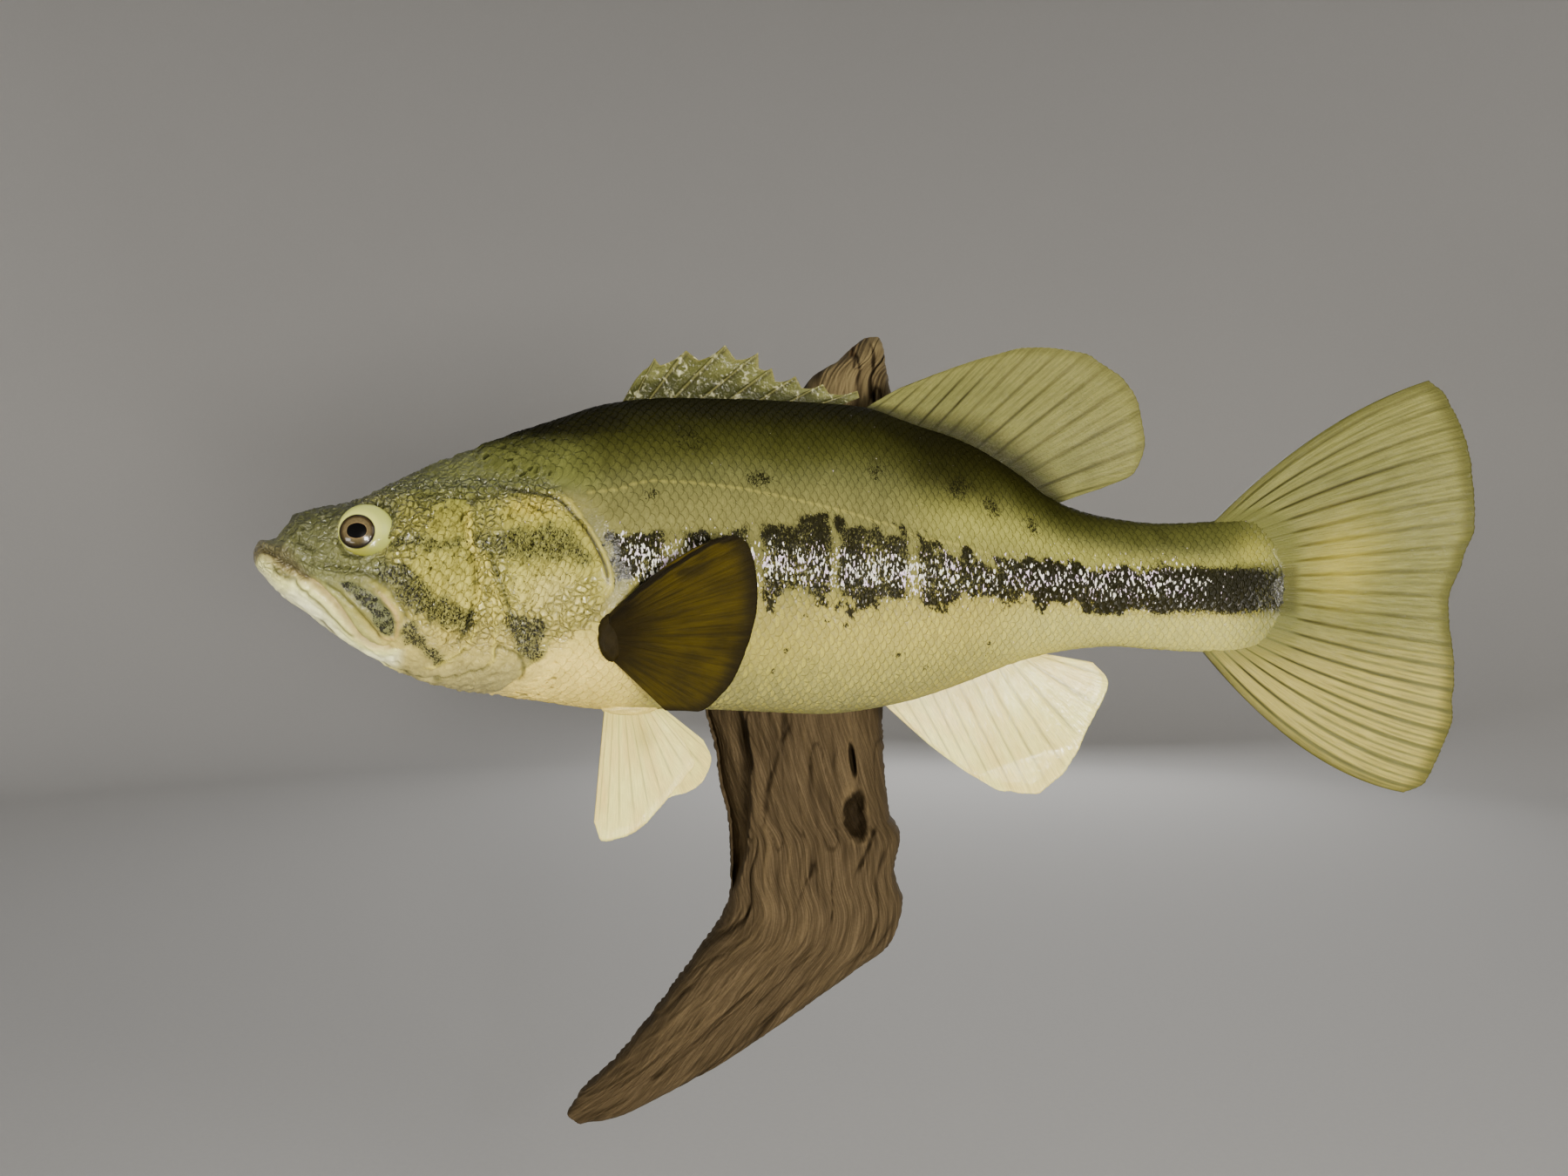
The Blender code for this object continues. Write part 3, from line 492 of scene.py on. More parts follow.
def patch_depth(along, arc, places, count=48):
    """Distance into a closed outline, positive inside, by the even-odd rule."""
    route = smooth_route(list(places) + [places[0]], count)
    gap = line_gap(along, arc, route)[0]
    inside = np.zeros(along.shape, bool)
    for (a0, v0), (a1, v1) in zip(route[:-1], route[1:]):
        crosses = (v0 > arc) != (v1 > arc)
        reach = a0 + (arc - v0) * (a1 - a0) / np.where(v1 == v0, 1e-9, v1 - v0)
        inside ^= crosses & (along < reach)
    return np.where(inside, gap, -gap)


def mound(gap, width):
    """A soft ridge over a line: 1 on it, falling off as a bell over the width."""
    return np.exp(-((gap / width) ** 2))


print("one line is", len(smooth_route([(5, 14), (30, -5)])), "short runs")

# %% [markdown]
# ## The relief of the head
# A bass's head is bone plates under thin skin: the long upper jaw with its dark plate, the ridges of the
# cheek bone, the gill cover with a soft membrane behind it, and folds on the throat. As objects of their
# own they would leave seams that the real head hasn't, so they are raised or sunk in the one skin. Each row
# is a line with a width and a height in millimetres, and a negative height is a groove.

# %% Head lines
MOUTH_LINE = (
    (0.6, 15.8), (2.6, 15.6), (5.5, 14.2), (8.3, 11.2), (12, 8.4), (16, 5.6), (20.5, 2.8), (24.5, -0.8),
    (29.2, -5.6), (33, -11), (36.6, -16.4), (40.5, -21.3), (45.5, -24.2), (50, -24.6),
)
GILL_GROOVE = (
    (92, 41.5), (101.3, 39.5), (112.6, 37.4), (116.5, 35.1), (120.4, 30.7), (123.8, 26.6), (128.4, 20.1),
    (132, 13.1), (134.6, 6.7), (135.2, 2),
)
GILL_EDGE = (
    (88, 44.5), (101.3, 43.2), (113, 41.2), (119.5, 37), (124, 31.2), (128.6, 24), (132.6, 17.4),
    (136.2, 9.6), (138.2, 2), (135.8, -3.3), (130, -8.5), (126, -13.8), (121.5, -17.6), (116.5, -19.4),
    (112.8, -22.6), (111, -28), (105, -33), (101.5, -38), (96.5, -42.6), (90, -45.6),
)
UPPER_JAW = (
    (12.5, 14.6), (17.1, 11.4), (25, 8.2), (33, 6), (40, 3.8), (46.2, -0.2), (51.6, -7), (54.6, -14),
    (54.2, -19.4), (51.6, -22), (47, -19.4), (42.6, -13.6), (38, -8.6), (31.5, -2.2), (25, 2.2), (18.7, 7.6),
    (14.5, 10.8),
)
JAW_LEAF = (
    (31, 2.4), (34.8, 2.9), (39.2, 1.1), (44.8, -2.5), (48.7, -6.7), (51.6, -10.9), (52.3, -15.1),
    (52, -19.2), (49.8, -19.7), (46.4, -17.5), (43.4, -13.3), (42.2, -9.7), (38.3, -6.7), (34.3, -1.9),
)
CHEEK_STRIPE = (
    (46, 8.6), (50.3, 5.6), (55.5, 0.8), (61, -3.6), (66.5, -8), (72.5, -11.2), (79.8, -13.4),
)
EYE_SPOT = (40.9, 23.2)         # along and up of the middle of the eyeball on the skin
ORBIT = 10.2                    # radius of the skin's opening round the eyeball
EYE_FACING = 0.14               # the skin round the eye is turned outwards by this slope
# route, width, height
HEAD_LINES = (
    (MOUTH_LINE, 0.9, -2.4),
    (((11.8, 22.1), (12.7, 19.2), (14.7, 16.7), (17, 15.2), (20.7, 13.2), (24.4, 10.2)), 0.9, 0.7),
    (((13.6, 22.6), (14.8, 19.8), (16.6, 17.9), (19.2, 16.6), (23, 14.4)), 0.9, -0.6),
    (((20.7, 9.4), (25.3, 6.6), (30, 5.6), (36.9, 4.8), (43, 2.1), (47.8, -2.9), (52.2, -9.4),
      (54, -14), (53.7, -17.7), (52.2, -20.8)), 1, 0.75),
    (((24, 10.4), (30, 8.6), (37, 7.4), (43.4, 4.6), (49.4, -0.8), (54.2, -7.8), (56.6, -14)), 0.9, -0.8),
    (((25.3, 3.4), (31.9, -2.6), (38.6, -9.6), (43.5, -15.8), (47.5, -20.6)), 0.8, -0.5),
    (((6, 10.2), (12.9, 3.6), (19.9, -3), (27, -9.6), (32, -15), (38.2, -21)), 0.8, -0.45),
    (((23, -11.6), (34.9, -22.3), (41.9, -27.2), (49.9, -31.6), (63.4, -37), (74, -38.6)), 1.1, -0.6),
    (((80.4, 33.3), (79.6, 26.7), (79.9, 19.7), (82.4, 13.4), (84.2, 7), (84.3, -2.6), (83.4, -7.9),
      (82.3, -13.3), (81.2, -20.3), (76.5, -26.9), (69, -31.6), (62, -33.4)), 1.3, 1.2),
    (((77.6, 30), (76.9, 20), (79.4, 12.6), (81.2, 5.8), (81.2, -3.6), (79.6, -12.4), (78.2, -19.2),
      (73.2, -24.8)), 0.8, -1.1),
    (((85, 15.4), (86.6, 8.4), (88.9, 1), (91.4, -6), (93.6, -11.4), (95.3, -15.4)), 0.9, 1.4),
    (((87.2, 17), (89.4, 8.4), (92.4, 0), (95, -7.4), (97.4, -13)), 0.8, -1.1),
    (((87.4, -1.2), (88.7, -6.2), (89.7, -12.6), (90.6, -17.7), (90.2, -23.2), (90.6, -29.3), (87.5, -32.6)),
     0.9, 1.2),
    (((68.8, -31.6), (72.6, -29.6), (76.5, -27.3), (79.3, -23.6)), 0.7, -1.1),
    (((65.6, -37.4), (77.6, -36.7), (84.5, -34.6), (90.2, -31.4)), 0.8, -1.2),
    (((91, -29.3), (91.6, -24.2), (96.2, -25.6), (101.4, -29.4), (103.4, -35.2), (101.6, -40.6)), 0.8, -1.1),
    (((105, -0.9), (109, 2.6), (113.6, 6.1), (117.5, 8)), 0.7, 0.45),
    (((116.6, -0.9), (121.3, 1.4), (125.4, 3.8)), 0.7, 0.45),
    (((119.5, -8), (123.7, -2.1), (128.4, 1.4), (130.9, 0.8), (132.1, -2.1), (129.9, -6.8), (124.4, -13.2)),
     0.8, 0.7),
    (GILL_GROOVE, 0.6, -1.3),
    (((58, 36.8), (66, 37.4), (74, 36.9), (80.4, 36), (87, 37.2), (94, 38.4)), 0.8, -1.1),
    (((58, 38.8), (66, 39.6), (75, 39.4), (84, 39.6)), 1.2, 0.6),
    (((84, 46), (87.5, 41), (83, 36.6), (80.6, 32)), 0.9, -0.6),
    (((95.7, 38.3), (101.3, 35.6), (106.3, 31.8), (111.5, 29.4)), 0.6, -0.6),
    (((91, 33.6), (98, 30.4), (104, 28.6), (109, 27.8)), 0.8, 0.35),
    (((50.8, 33.6), (53.4, 28.4), (53.4, 22), (52, 16.4)), 0.8, 0.4),
)
NOSTRILS = ((17.8, 23.6, 1), (26.8, 26.4, 0.8))  # along, up, radius


def head_relief(along, arc, hand):
    """Height of the head's forms over the bare body, in millimetres, at places on the skin.

    It is the sum of a bell-shaped ridge or groove over each line, of plates raised inside their
    outlines, of rings round the eye, and of wrinkles.
    """
    up = up_at(along, arc)
    height = np.zeros(along.shape)
    for places, width, rise in HEAD_LINES:
        gap, reached, side = gap_to(along, arc, places)
        fade = ease(reached, 0, 0.08) * ease(reached, 1, 0.9)
        height += rise * mound(gap, width) * (fade if places is not MOUTH_LINE else 1)
    gap, reached, below = gap_to(along, arc, MOUTH_LINE)
    lip = ease(reached, 1, 0.7)
    height += lip * np.where(below > 0, 0.75 * mound(gap - 2.7, 1.5), 0.65 * mound(gap - 2.2, 1.2))
    height += 0.85 * ease(patch_depth(along, arc, UPPER_JAW), -0.3, 0.9)
    leaf = patch_depth(along, arc, JAW_LEAF)
    pitted = roughen((along / 2, arc / 2, hand), 5)
    height += ease(leaf, -0.2, 0.7) * (-0.5 + 0.4 * pitted)
    gap, reached, within = gap_to(along, arc, GILL_EDGE, 60)
    front = ease(along, 78, 96)
    height += front * np.where(within > 0, 0.4 - 0.15 * mound(gap, 1.4), -0.15 - 0.25 * mound(gap, 1.6))
    eye_arc = arc_at(*EYE_SPOT)[0]
    ring = np.hypot(along - EYE_SPOT[0], arc - eye_arc)
    height += 0.8 * mound(ring - ORBIT - 1.2, 0.9) - 1.5 * ease(ring, ORBIT + 0.3, ORBIT - 1.2)
    height -= 0.35 * mound(ring - ORBIT - 3, 0.8)
    height += EYE_FACING * (eye_arc - arc) * ease(ring, ORBIT + 8, ORBIT)
    for spot_along, spot_up, radius in NOSTRILS:
        ring = np.hypot(along - spot_along, arc - arc_at(spot_along, spot_up)[0])
        height += 0.5 * mound(ring - radius - 0.5, 0.5) - 1.2 * mound(ring, radius)
    skull = ease(along, 132, 100) * ease(along, 3, 12)
    sliding = 1.6 * roughen((along / 9, arc / 9, hand), 11, 2)
    folds = roughen(((along + sliding) / 2.6, (arc + 0.5 * along) / 5, 3 * hand), 12)
    creases = -np.abs(roughen(((along + arc * 0.2) / 3.2, (arc + sliding) / 3.6, hand), 14, 2))
    jaw = ease(up, 3, -8) * ease(along, 60, 40)
    height += skull * (1 - 0.7 * jaw) * (0.5 * folds + 0.95 * creases + 0.3)
    under_eye = mound(up - 7, 5.5) * mound(along - 36, 13)
    height += 1.1 * under_eye * soft_random(((along + 0.3 * arc) / 2, arc / 7, hand), 15)
    height += 0.5 * jaw * skull * soft_random(((along + 1.15 * up) / 1.9, (along - up) / 14), 16)
    return height


print("head lines:", len(HEAD_LINES))

# %% [markdown]
# ## The markings
# A bass is dark olive on its back, yellow-green on its sides and cream below, with a ragged black band from
# the gill cover to the tail, two bars over the cheek and fine dark specks. Skin and scales must match, so
# one function gives the colour of any place on the unrolled skin, and both read it. It lays paint over
# paint, as a taxidermist does: each layer is a mask and a colour.

# %% Colours of the fish
LIGHT = (2.2, 1.9, 2.6)         # red, green and blue light sent back by white paint in the studio
GLARE = 0.006                   # light that the varnish adds everywhere
FILM = (18.993, -27.474, 17.217, -5.668)


def shade(red, green, blue):
    """Paint that is seen as this display colour, 0 to 255, once it is lit and filmed.

    Blender's film-like view squeezes light into display values c from 0 to 1. Backwards it is close
    to light = exp(18.993 c^3 - 27.474 c^2 + 17.217 c - 5.668), and paint = (light - GLARE) / LIGHT.
    """
    c = np.array([red, green, blue]) / 255
    return np.clip((np.exp(np.polyval(FILM, c)) - GLARE) / LIGHT, 0.001, 0.92)


def tint(colour, mask, new):
    """Blend a colour into an array of colours by a mask from 0 to 1."""
    return colour + (new - colour) * np.clip(mask, 0, 1)[..., None]


def paint_over(colour, *layers):
    """Lay paints over colours in turn: each layer is a mask and the display colour of its paint."""
    for mask, paint in layers:
        colour = tint(colour, mask, shade(*paint))
    return colour


def shades(*rows):
    """Rows of a number and a display colour, as a table of the number and the paint."""
    return [(at, *shade(*colour)) for at, *colour in rows]


# level, from 0 at the ridge's height to 1 at the belly's, then the display colour there
FLANK = shades(
    (0, 36, 32, 10), (0.08, 50, 46, 18), (0.14, 72, 68, 32), (0.2, 97, 91, 50), (0.27, 131, 123, 78),
    (0.34, 152, 142, 92), (0.42, 162, 152, 100), (0.58, 166, 156, 102), (0.66, 184, 173, 118),
    (0.76, 190, 180, 124), (0.86, 184, 175, 126), (1, 172, 164, 130))
# the same on the head, by height in millimetres
HEAD_TONES = shades(
    (-50, 184, 173, 142), (-36, 190, 180, 144), (-24, 200, 190, 146), (-8, 197, 188, 128),
    (8, 192, 184, 116), (26, 186, 178, 106), (34, 176, 169, 98), (42, 132, 128, 70),
    (54, 104, 100, 50), (66, 60, 56, 24))
# and on the lower jaw, by distance from the mouth line
JAW_TONES = shades((0, 200, 186, 156), (3.5, 224, 215, 196), (9, 228, 221, 206), (20, 218, 210, 188))
# dark blots on the back: along, up, size
BLOTS = (
    (176, 66, 5.5), (262, 52, 5), (301, 44, 5), (318, 37, 4.5), (338, 28, 4), (156, 39, 3), (204, 47, 3.5),
)
SPECKS = 17                     # on the lower side
HEAD_PAINTED = 145              # the head's own colours end before this
# the black band: along, its upper and lower edge
BAND = (
    (128, 17, 12), (136, 23, 2), (158, 21.5, 4), (174, 22.7, 12.6), (192, 27, 12), (206, 30, -5.5),
    (236, 31, -6), (244, 28, -7.5), (258, 29, -10), (274, 25, -6), (286, 20, -8), (300, 15.4, -5.7),
    (344, 12.2, -8), (387, 10, -12), (459, 10, -12),
)
BAND_GAPS = ((165, 5), (201, 4), (239, 1.7), (278, 3))  # where it is broken, and how widely
CHEEK_BAR = (
    (50.5, 17.5), (56, 18.4), (62, 18), (68, 17), (74, 17.4), (80, 18.4), (86, 17.6),
)
COVER_BAR = (
    (84, 18), (92, 23.2), (100.5, 24.4), (109, 25.4), (116, 25.2), (122, 23), (126.4, 18.6), (130, 11.6),
    (127, 8), (120.6, 8.6), (111.8, 10.6), (103.2, 11.8), (95.3, 11.6), (88, 13.4),
)
CHEEK_BLOTCH = (
    (54.6, -14.6), (57.5, -12.6), (62.2, -17.5), (66, -23), (70.4, -27.6), (70, -31.2), (65, -29.4),
    (59.6, -24.6), (54.2, -18.4),
)
LOW_BLOTCH = (
    (93.6, -10.9), (101.6, -11.9), (108.6, -13.6), (110.4, -17.8), (108.2, -21.6), (110.8, -26.6),
    (107.4, -31), (103.4, -31), (100.1, -26), (96.2, -19.4),
)


def bass_colours(along, arc, hand):
    """The paint of each place, layer over layer, how much black lies on it, and its edge's darkness."""
    up = up_at(along, arc)
    ridge, belly = body_top(along), body_bottom(along)
    share = np.clip((ridge - up) / (ridge - belly), 0, 1)
    spot = spots_of((along, arc, 40 * hand))
    cloud = roughen(spot / 26, 21)
    mottle = roughen(spot / 8, 22)
    fine = roughen(spot / 2.6, 23, 2)
    stalk = ease(along, 330, 400)
    colour = flow(FLANK, np.clip(share + 0.025 * cloud + 0.012 * mottle + 0.05 * stalk, 0, 1))
    patch = mound(np.hypot((along - 446) / 9, (up - 16) / 8), 1)
    colour = paint_over(
        colour,
        (ease(along, 300, 350) * ease(share, 0.62, 0.8), (194, 187, 148)),
        # a band of the upper rear flank painted lighter, as painted light, where the lamps' light only
        # grazes the body
        (ease(along, 262, 310) * mound(share - 0.36, 0.1) * 0.6, (186, 180, 112)),
        (ease(along, 165, 140) * ease(share, 0.68, 0.84) * 0.85, (212, 202, 164)),
        (0.8 * ease(along, 428, 456), (150, 143, 84)),
        (ease(along, 335, 425) * ease(share, 0.34, 0.1) * 0.7, (112, 106, 58)),
        (0.6 * patch, (186, 178, 96)),
        # a dark saddle under the soft dorsal fin: partly the back's own blotches, partly the fin's shadow
        # painted on
        (mound(along - 296, 26) * ease(share, 0.36, 0.18) * 0.7, (36, 32, 8)),
        (ease(share, 0.3, 0.06) * ease(cloud + 0.5 * mottle, 0.3, 0.9) * 0.7, (36, 32, 8)))
    blots = np.zeros(along.shape)
    for a, u, size in BLOTS:
        ring = np.hypot((along - a) * 0.7, up - u)
        blots = np.maximum(blots, 0.6 * mound(ring / (1.3 * size) + 0.4 * mottle, 1))
    # the black band with ragged edges
    top, low = np.moveaxis(flow(BAND, along), -1, 0)
    ragged = (4.4 * mottle + 1.8 * fine) * ease(along, 440, 330) + 0.8 * fine
    body = ease(along + ragged, 130, 138)
    soft = 2 + 2.2 * ease(along, 340, 420)
    inside = ease(up, top + soft + ragged, top - soft + ragged)
    inside = inside * ease(up, low - soft - ragged, low + soft - ragged)
    broken = np.ones(along.shape)
    for middle, width in BAND_GAPS:
        broken -= 0.8 * mound(along - middle + 1.6 * mottle, width)
    ink = body * inside * broken * (0.7 + 0.3 * ease(along, 300, 420) + 0.12 * mottle)
    colour = paint_over(
        colour, (0.7 * ink, (100, 92, 58)), (0.75 * ink * ease(along, 425, 445), (74, 70, 34)))
    ink = ink * (1 - 0.3 * ease(along, 436, 450) - 0.15 * ease(along, 450, 460))
    # the blots, and specks along the lower side
    ink = np.maximum(ink, blots)
    for k in range(SPECKS):
        chance = 0.5 + 0.5 * scramble(np.array([[k, 0], [k, 1], [k, 2]]) + 7, 25)
        behind = along - 212
        ring = np.hypot(behind - 112 * chance[0], up + 12 + 34 * chance[1] - 0.12 * behind)
        ink = np.maximum(ink, (0.45 + 0.25 * chance[2]) * ease(ring + 0.3 * fine, 2, 1))
    colour, ink, head = head_colours(along, arc, up, colour, ink, mottle, fine)
    edges = ease(share, 0.6, 0.2) * (1 - 0.6 * head) * ease(along, 446, 425)
    return np.clip(colour, 0, 1), ink, edges


def head_colours(along, arc, up, colour, ink, mottle, fine):
    """The head's own paint and black over the flank's, and where the head is."""
    near = along < HEAD_PAINTED
    a, v, u = along[near], arc[near], up[near]
    c, k, m, f = colour[near], ink[near], mottle[near], fine[near]
    cover_gap, reached, within = gap_to(a, v, GILL_EDGE, 60)
    head = np.maximum(np.where(within > 0, ease(cover_gap, -0.4, 0.6), 0), ease(a, 92, 78))
    # forehead and snout, cheek, throat
    snout = ease(a + 0.35 * u, 60, 44) * ease(u, -2, 6)
    nape = ease(u, 38, 44) * ease(a, 60, 74) * ease(a, 142, 116)
    c = tint(c, head, flow(HEAD_TONES, u + 1.5 * m))
    k = k * (1 - head)
    c = paint_over(
        c,
        (0.75 * nape * (1 - ease(u, 54, 68)), (150, 146, 86)),
        (0.8 * mound(np.hypot((a - 106) / 12, (u - 33) / 4.5), 1), (204, 194, 118)),
        (0.9 * snout, (132, 128, 92)),
        (snout * ease(u, 18, 30) * 0.8, (94, 90, 56)))
    # lower jaw: cream, with a brown lip at the front
    mouth_gap, reached, below = gap_to(a, v, MOUTH_LINE)
    lower = np.where(below > 0, 1, 0) * ease(a, 58, 50)
    upper = np.where(below < 0, 1, 0)
    lip = lower * ease(a, 15, 4) * ease(mouth_gap, 4.2, 1.2)
    pale = upper * ease(mouth_gap, 6, 2) * ease(a, 18, 26) * ease(a, 50, 44)
    c = tint(c, lower, flow(JAW_TONES, mouth_gap))
    streaks = soft_random(((a + 1.15 * u) / 1.5, (a - u) / 16), 27)
    # the upper jaw and its dark plate
    plate = ease(patch_depth(a, v, UPPER_JAW), -0.3, 1)
    leaf_depth = patch_depth(a, v, JAW_LEAF)
    leaf = ease(leaf_depth + 0.6 * m, -0.3, 0.9)
    rim = mound(leaf_depth + 0.9, 0.7) * ease(a, 42, 50)
    c = paint_over(
        c,
        (0.75 * lip * (0.8 + 0.3 * m), (128, 106, 82)),
        (upper * ease(mouth_gap, 4, 2) * ease(a, 24, 16) * 0.7, (140, 120, 90)),
        (0.6 * pale, (178, 176, 138)),
        # the mouth's crease, darkened as painted shade
        (0.95 * mound(mouth_gap, 0.75) * ease(a, 20.8, 18.8), (34, 20, 14)),
        (0.4 * mound(mouth_gap, 1.1) * ease(reached, 1, 0.9), (166, 152, 116)),
        (0.25 * lower * ease(streaks, 0.3, 0.8) * ease(mouth_gap, 1, 4), (180, 154, 128)),
        (0.75 * plate, (160, 154, 112)),
        (0.7 * plate * ease(a, 40, 46) * ease(u, -12, -19), (196, 186, 120)),
        (0.85 * leaf, (140, 137, 104)),
        (0.6 * rim, (206, 190, 158)))
    k = np.maximum(k, leaf * (0.6 + 0.3 * f))
    # bars on the cheek and the gill cover, with ragged edges
    ragged = 1.3 * m + 0.9 * f
    bars = 0.66 * ease(gap_to(a, v, CHEEK_BAR)[0] + ragged, 4.6, 1.4)
    gap, reached = gap_to(a, v, CHEEK_STRIPE)[:2]
    wide = 3.4 + 1.6 * reached
    bars = np.maximum(bars, 0.74 * ease(gap + ragged, wide + 1.8, wide - 1.6))
    cover_bar = ease(patch_depth(a, v, COVER_BAR) + 1.4 * ragged, -2, 2)
    bars = np.maximum(bars, 0.66 * cover_bar)
    for outline in (CHEEK_BLOTCH, LOW_BLOTCH):
        bars = np.maximum(bars, 0.78 * ease(patch_depth(a, v, outline) + ragged, -1.6, 1.6))
    k = np.maximum(k, 0.72 * bars)
    # the silvery lower cover, partly a painted sheen, the pale membrane, painted shade in the
    # grooves and painted highlight on the crests
    silver_sheen = mound(np.hypot((a - 112) / 1.3, u + 2), 9)
    membrane = np.where(within > 0, ease(cover_gap, 4.2, 2.4), 0) * ease(u, 40, 36) * ease(u, -46, -30)
    grooves = np.zeros(a.shape)
    crest_highlights = np.zeros(a.shape)
    for places, width, rise in HEAD_LINES[1:]:
        gap, reached = gap_to(a, v, places, 20)[:2]
        seen = mound(gap, 0.85 * width) * ease(reached, 0, 0.06) * ease(reached, 1, 0.94)
        if rise < 0:
            grooves = np.maximum(grooves, seen)
        elif places[0][0] > 76 and width > 0.85:
            crest_highlights = np.maximum(crest_highlights, seen)
    # last, the rim of the eye socket, its groove darkened as painted shade
    ring = np.hypot(a - EYE_SPOT[0], v - arc_at(*EYE_SPOT)[0])
    c = paint_over(
        c,
        (0.95 * bars, (134, 130, 90)),
        (0.6 * silver_sheen * head, (204, 196, 166)),
        (0.7 * membrane * ease(a, 96, 106), (188, 178, 110)),
        (0.75 * crest_highlights, (210, 202, 146)),
        (0.8 * grooves, (98, 92, 50)),
        # the gill cover's groove, darkened as painted shade
        (0.9 * mound(gap_to(a, v, GILL_GROOVE)[0], 0.6), (50, 45, 18)),
        (0.7 * ease(ring, ORBIT + 3.4, ORBIT + 0.8), (164, 158, 112)),
        (0.8 * mound(ring - ORBIT, 0.7), (92, 86, 52)))
    c = c * (1 + 0.1 * f + 0.1 * m)[:, None]
    colour, ink = colour.copy(), ink.copy()
    colour[near], ink[near] = c, k
    where = np.zeros(along.shape)
    where[near] = head
    return colour, ink, where


# %% [markdown]
# ## One skin over the whole fish
# The skin is a single grid: rings along the body, close together on the head, where the forms are small,
# and wider apart behind it. It lies inside the solid by the depth of the coat of scales, and the relief is
# added along its outward direction, the cross product of the two grid directions.

# %% The skin
COAT_DEPTH = 0.6                # room left for the scales
HEAD_FORMED = 150               # the head's relief ends before this
SKIN_RINGS = 276


def skin_stations():
    """Distances along the body: short steps at the jaw tip and on the head, long ones under the coat."""
    share = (0, 0.03, 0.82, 0.945, 1)
    return np.interp(np.linspace(0, 1, SKIN_RINGS), share, (0.12, 3, 147, 442, BODY_LENGTH))


def outward_of(points, wrap_columns=True):
    """Outward directions of a grid: the cross product of its two grid directions."""
    down = np.gradient(points, axis=0)
    if wrap_columns:
        across = np.roll(points, -1, axis=1) - np.roll(points, 1, axis=1)
    else:
        across = np.gradient(points, axis=1)
    direction = np.cross(across, down)
    return direction / np.maximum(np.linalg.norm(direction, axis=-1, keepdims=True), 1e-12)


SKIN_ALONG = skin_stations()
half_side, half_up, half_girth = half_rings(SKIN_ALONG)
half_arc = np.linspace(0, 1, HALF_POINTS)[None, :] * half_girth[:, None]
mirrored = slice(HALF_POINTS - 2, 0, -1)
skin_arc = np.concatenate([half_arc, half_arc[:, mirrored]], axis=1)
skin_hand = np.ones(skin_arc.shape)
skin_hand[:, HALF_POINTS:] = -1
skin_side = np.concatenate([half_side, -half_side[:, mirrored]], axis=1)
skin_up = np.concatenate([half_up, half_up[:, mirrored]], axis=1)
skin_along = np.broadcast_to(SKIN_ALONG[:, None], skin_arc.shape)

bare = place(skin_along, skin_side, skin_up)
outward = outward_of(bare)
outward *= np.sign(np.sum(outward[60, 30] * (bare[60, 30] - bare[60].mean(axis=0))))
relief = np.zeros(skin_arc.shape)
head_rows = SKIN_ALONG < HEAD_FORMED
relief[head_rows] = head_relief(skin_along[head_rows], skin_arc[head_rows], skin_hand[head_rows])
relief *= ease(skin_along, 0, 4)
inset = COAT_DEPTH * ease(skin_along, 70, 130) + 0.25
inset = inset * ease(skin_along, 0, 3) * ease(skin_along, BODY_LENGTH + 4, 452)
SKIN = bare + outward * ((relief - inset) * MM)[..., None]
SKIN_OUT = outward_of(SKIN)
SKIN_OUT *= np.sign(np.sum(SKIN_OUT[60, 30] * outward[60, 30]))
skin_colour, skin_ink = bass_colours(skin_along.ravel(), skin_arc.ravel(), skin_hand.ravel())[:2]
print("skin colours from", skin_colour.min(axis=0).round(2), "to", skin_colour.max(axis=0).round(2))

# %% [markdown]
# ## Lacquered skin
# A taxidermist paints the dry skin and then varnishes it, so it has two glosses: the paint's soft one and,
# over it, a clear, sharp one, which the Principled shader calls its coat. The colour comes from the points,
# and noise adds what is finer than the mesh. A material is a tree of nodes: feed joins one's output to
# another's input, or gives the input a value.

# %% Material helpers and the skin's finish


def start_material(name):
    """A new node material, with its tree of nodes and its Principled shader."""
    material = bpy.data.materials.new(name)
    material.use_nodes = True
    return material, material.node_tree, material.node_tree.nodes["Principled BSDF"]


def feed(node, inputs):
    """Give inputs, by name or place, another node's output or a value of their own."""
    for name, value in dict(inputs).items():
        if isinstance(value, bpy.types.NodeSocket):
            node.id_data.links.new(value, node.inputs[name])
        else:
            node.inputs[name].default_value = value


def add_node(tree, kind, inputs=(), **settings):
    node = tree.nodes.new("ShaderNode" + kind)
    for name, value in settings.items():
        setattr(node, name, value)
    feed(node, inputs)
    return node


def maths(operation, first, *others):
    """The output of one sum on one to three values, the first of them another node's output."""
    node = add_node(first.id_data, "Math", enumerate((first, *others)), operation=operation)
    return node.outputs[0]


def noise_over(where, size, detail, roughness, stretch, distortion=0):
    """Noise over the places that a node puts out: cells of this size, drawn out by stretch."""
    tree = where.id_data
    fit = add_node(tree, "Mapping", {"Vector": where, "Scale": stretch})
    return add_node(tree, "TexNoise", {
        "Vector": fit.outputs[0], "Scale": 1 / size, "Detail": detail, "Roughness": roughness,
        "Distortion": distortion}).outputs["Fac"]


def add_noise(tree, size, detail=3, roughness=0.55, stretch=(1, 1, 1), distortion=0):
    """Noise over the piece in metres."""
    where = add_node(tree, "TexCoord").outputs["Object"]
    return noise_over(where, size, detail, roughness, stretch, distortion)


def remap(source, low, high, to_low, to_high):
    """Stretch a value from one range onto another, clamped."""
    return add_node(source.id_data, "MapRange", {
        "Value": source, "From Min": low, "From Max": high, "To Min": to_low, "To Max": to_high}).outputs[0]


def mix_colour(tree, share, first, second, blend="MIX"):
    """Blend two colours, each an output or a plain colour, by a share."""
    first, second = (
        colour if isinstance(colour, bpy.types.NodeSocket) else (*colour, 1) for colour in (first, second))
    node = add_node(tree, "Mix", {0: share, 6: first, 7: second}, data_type="RGBA", blend_type=blend)
    return node.outputs[2]


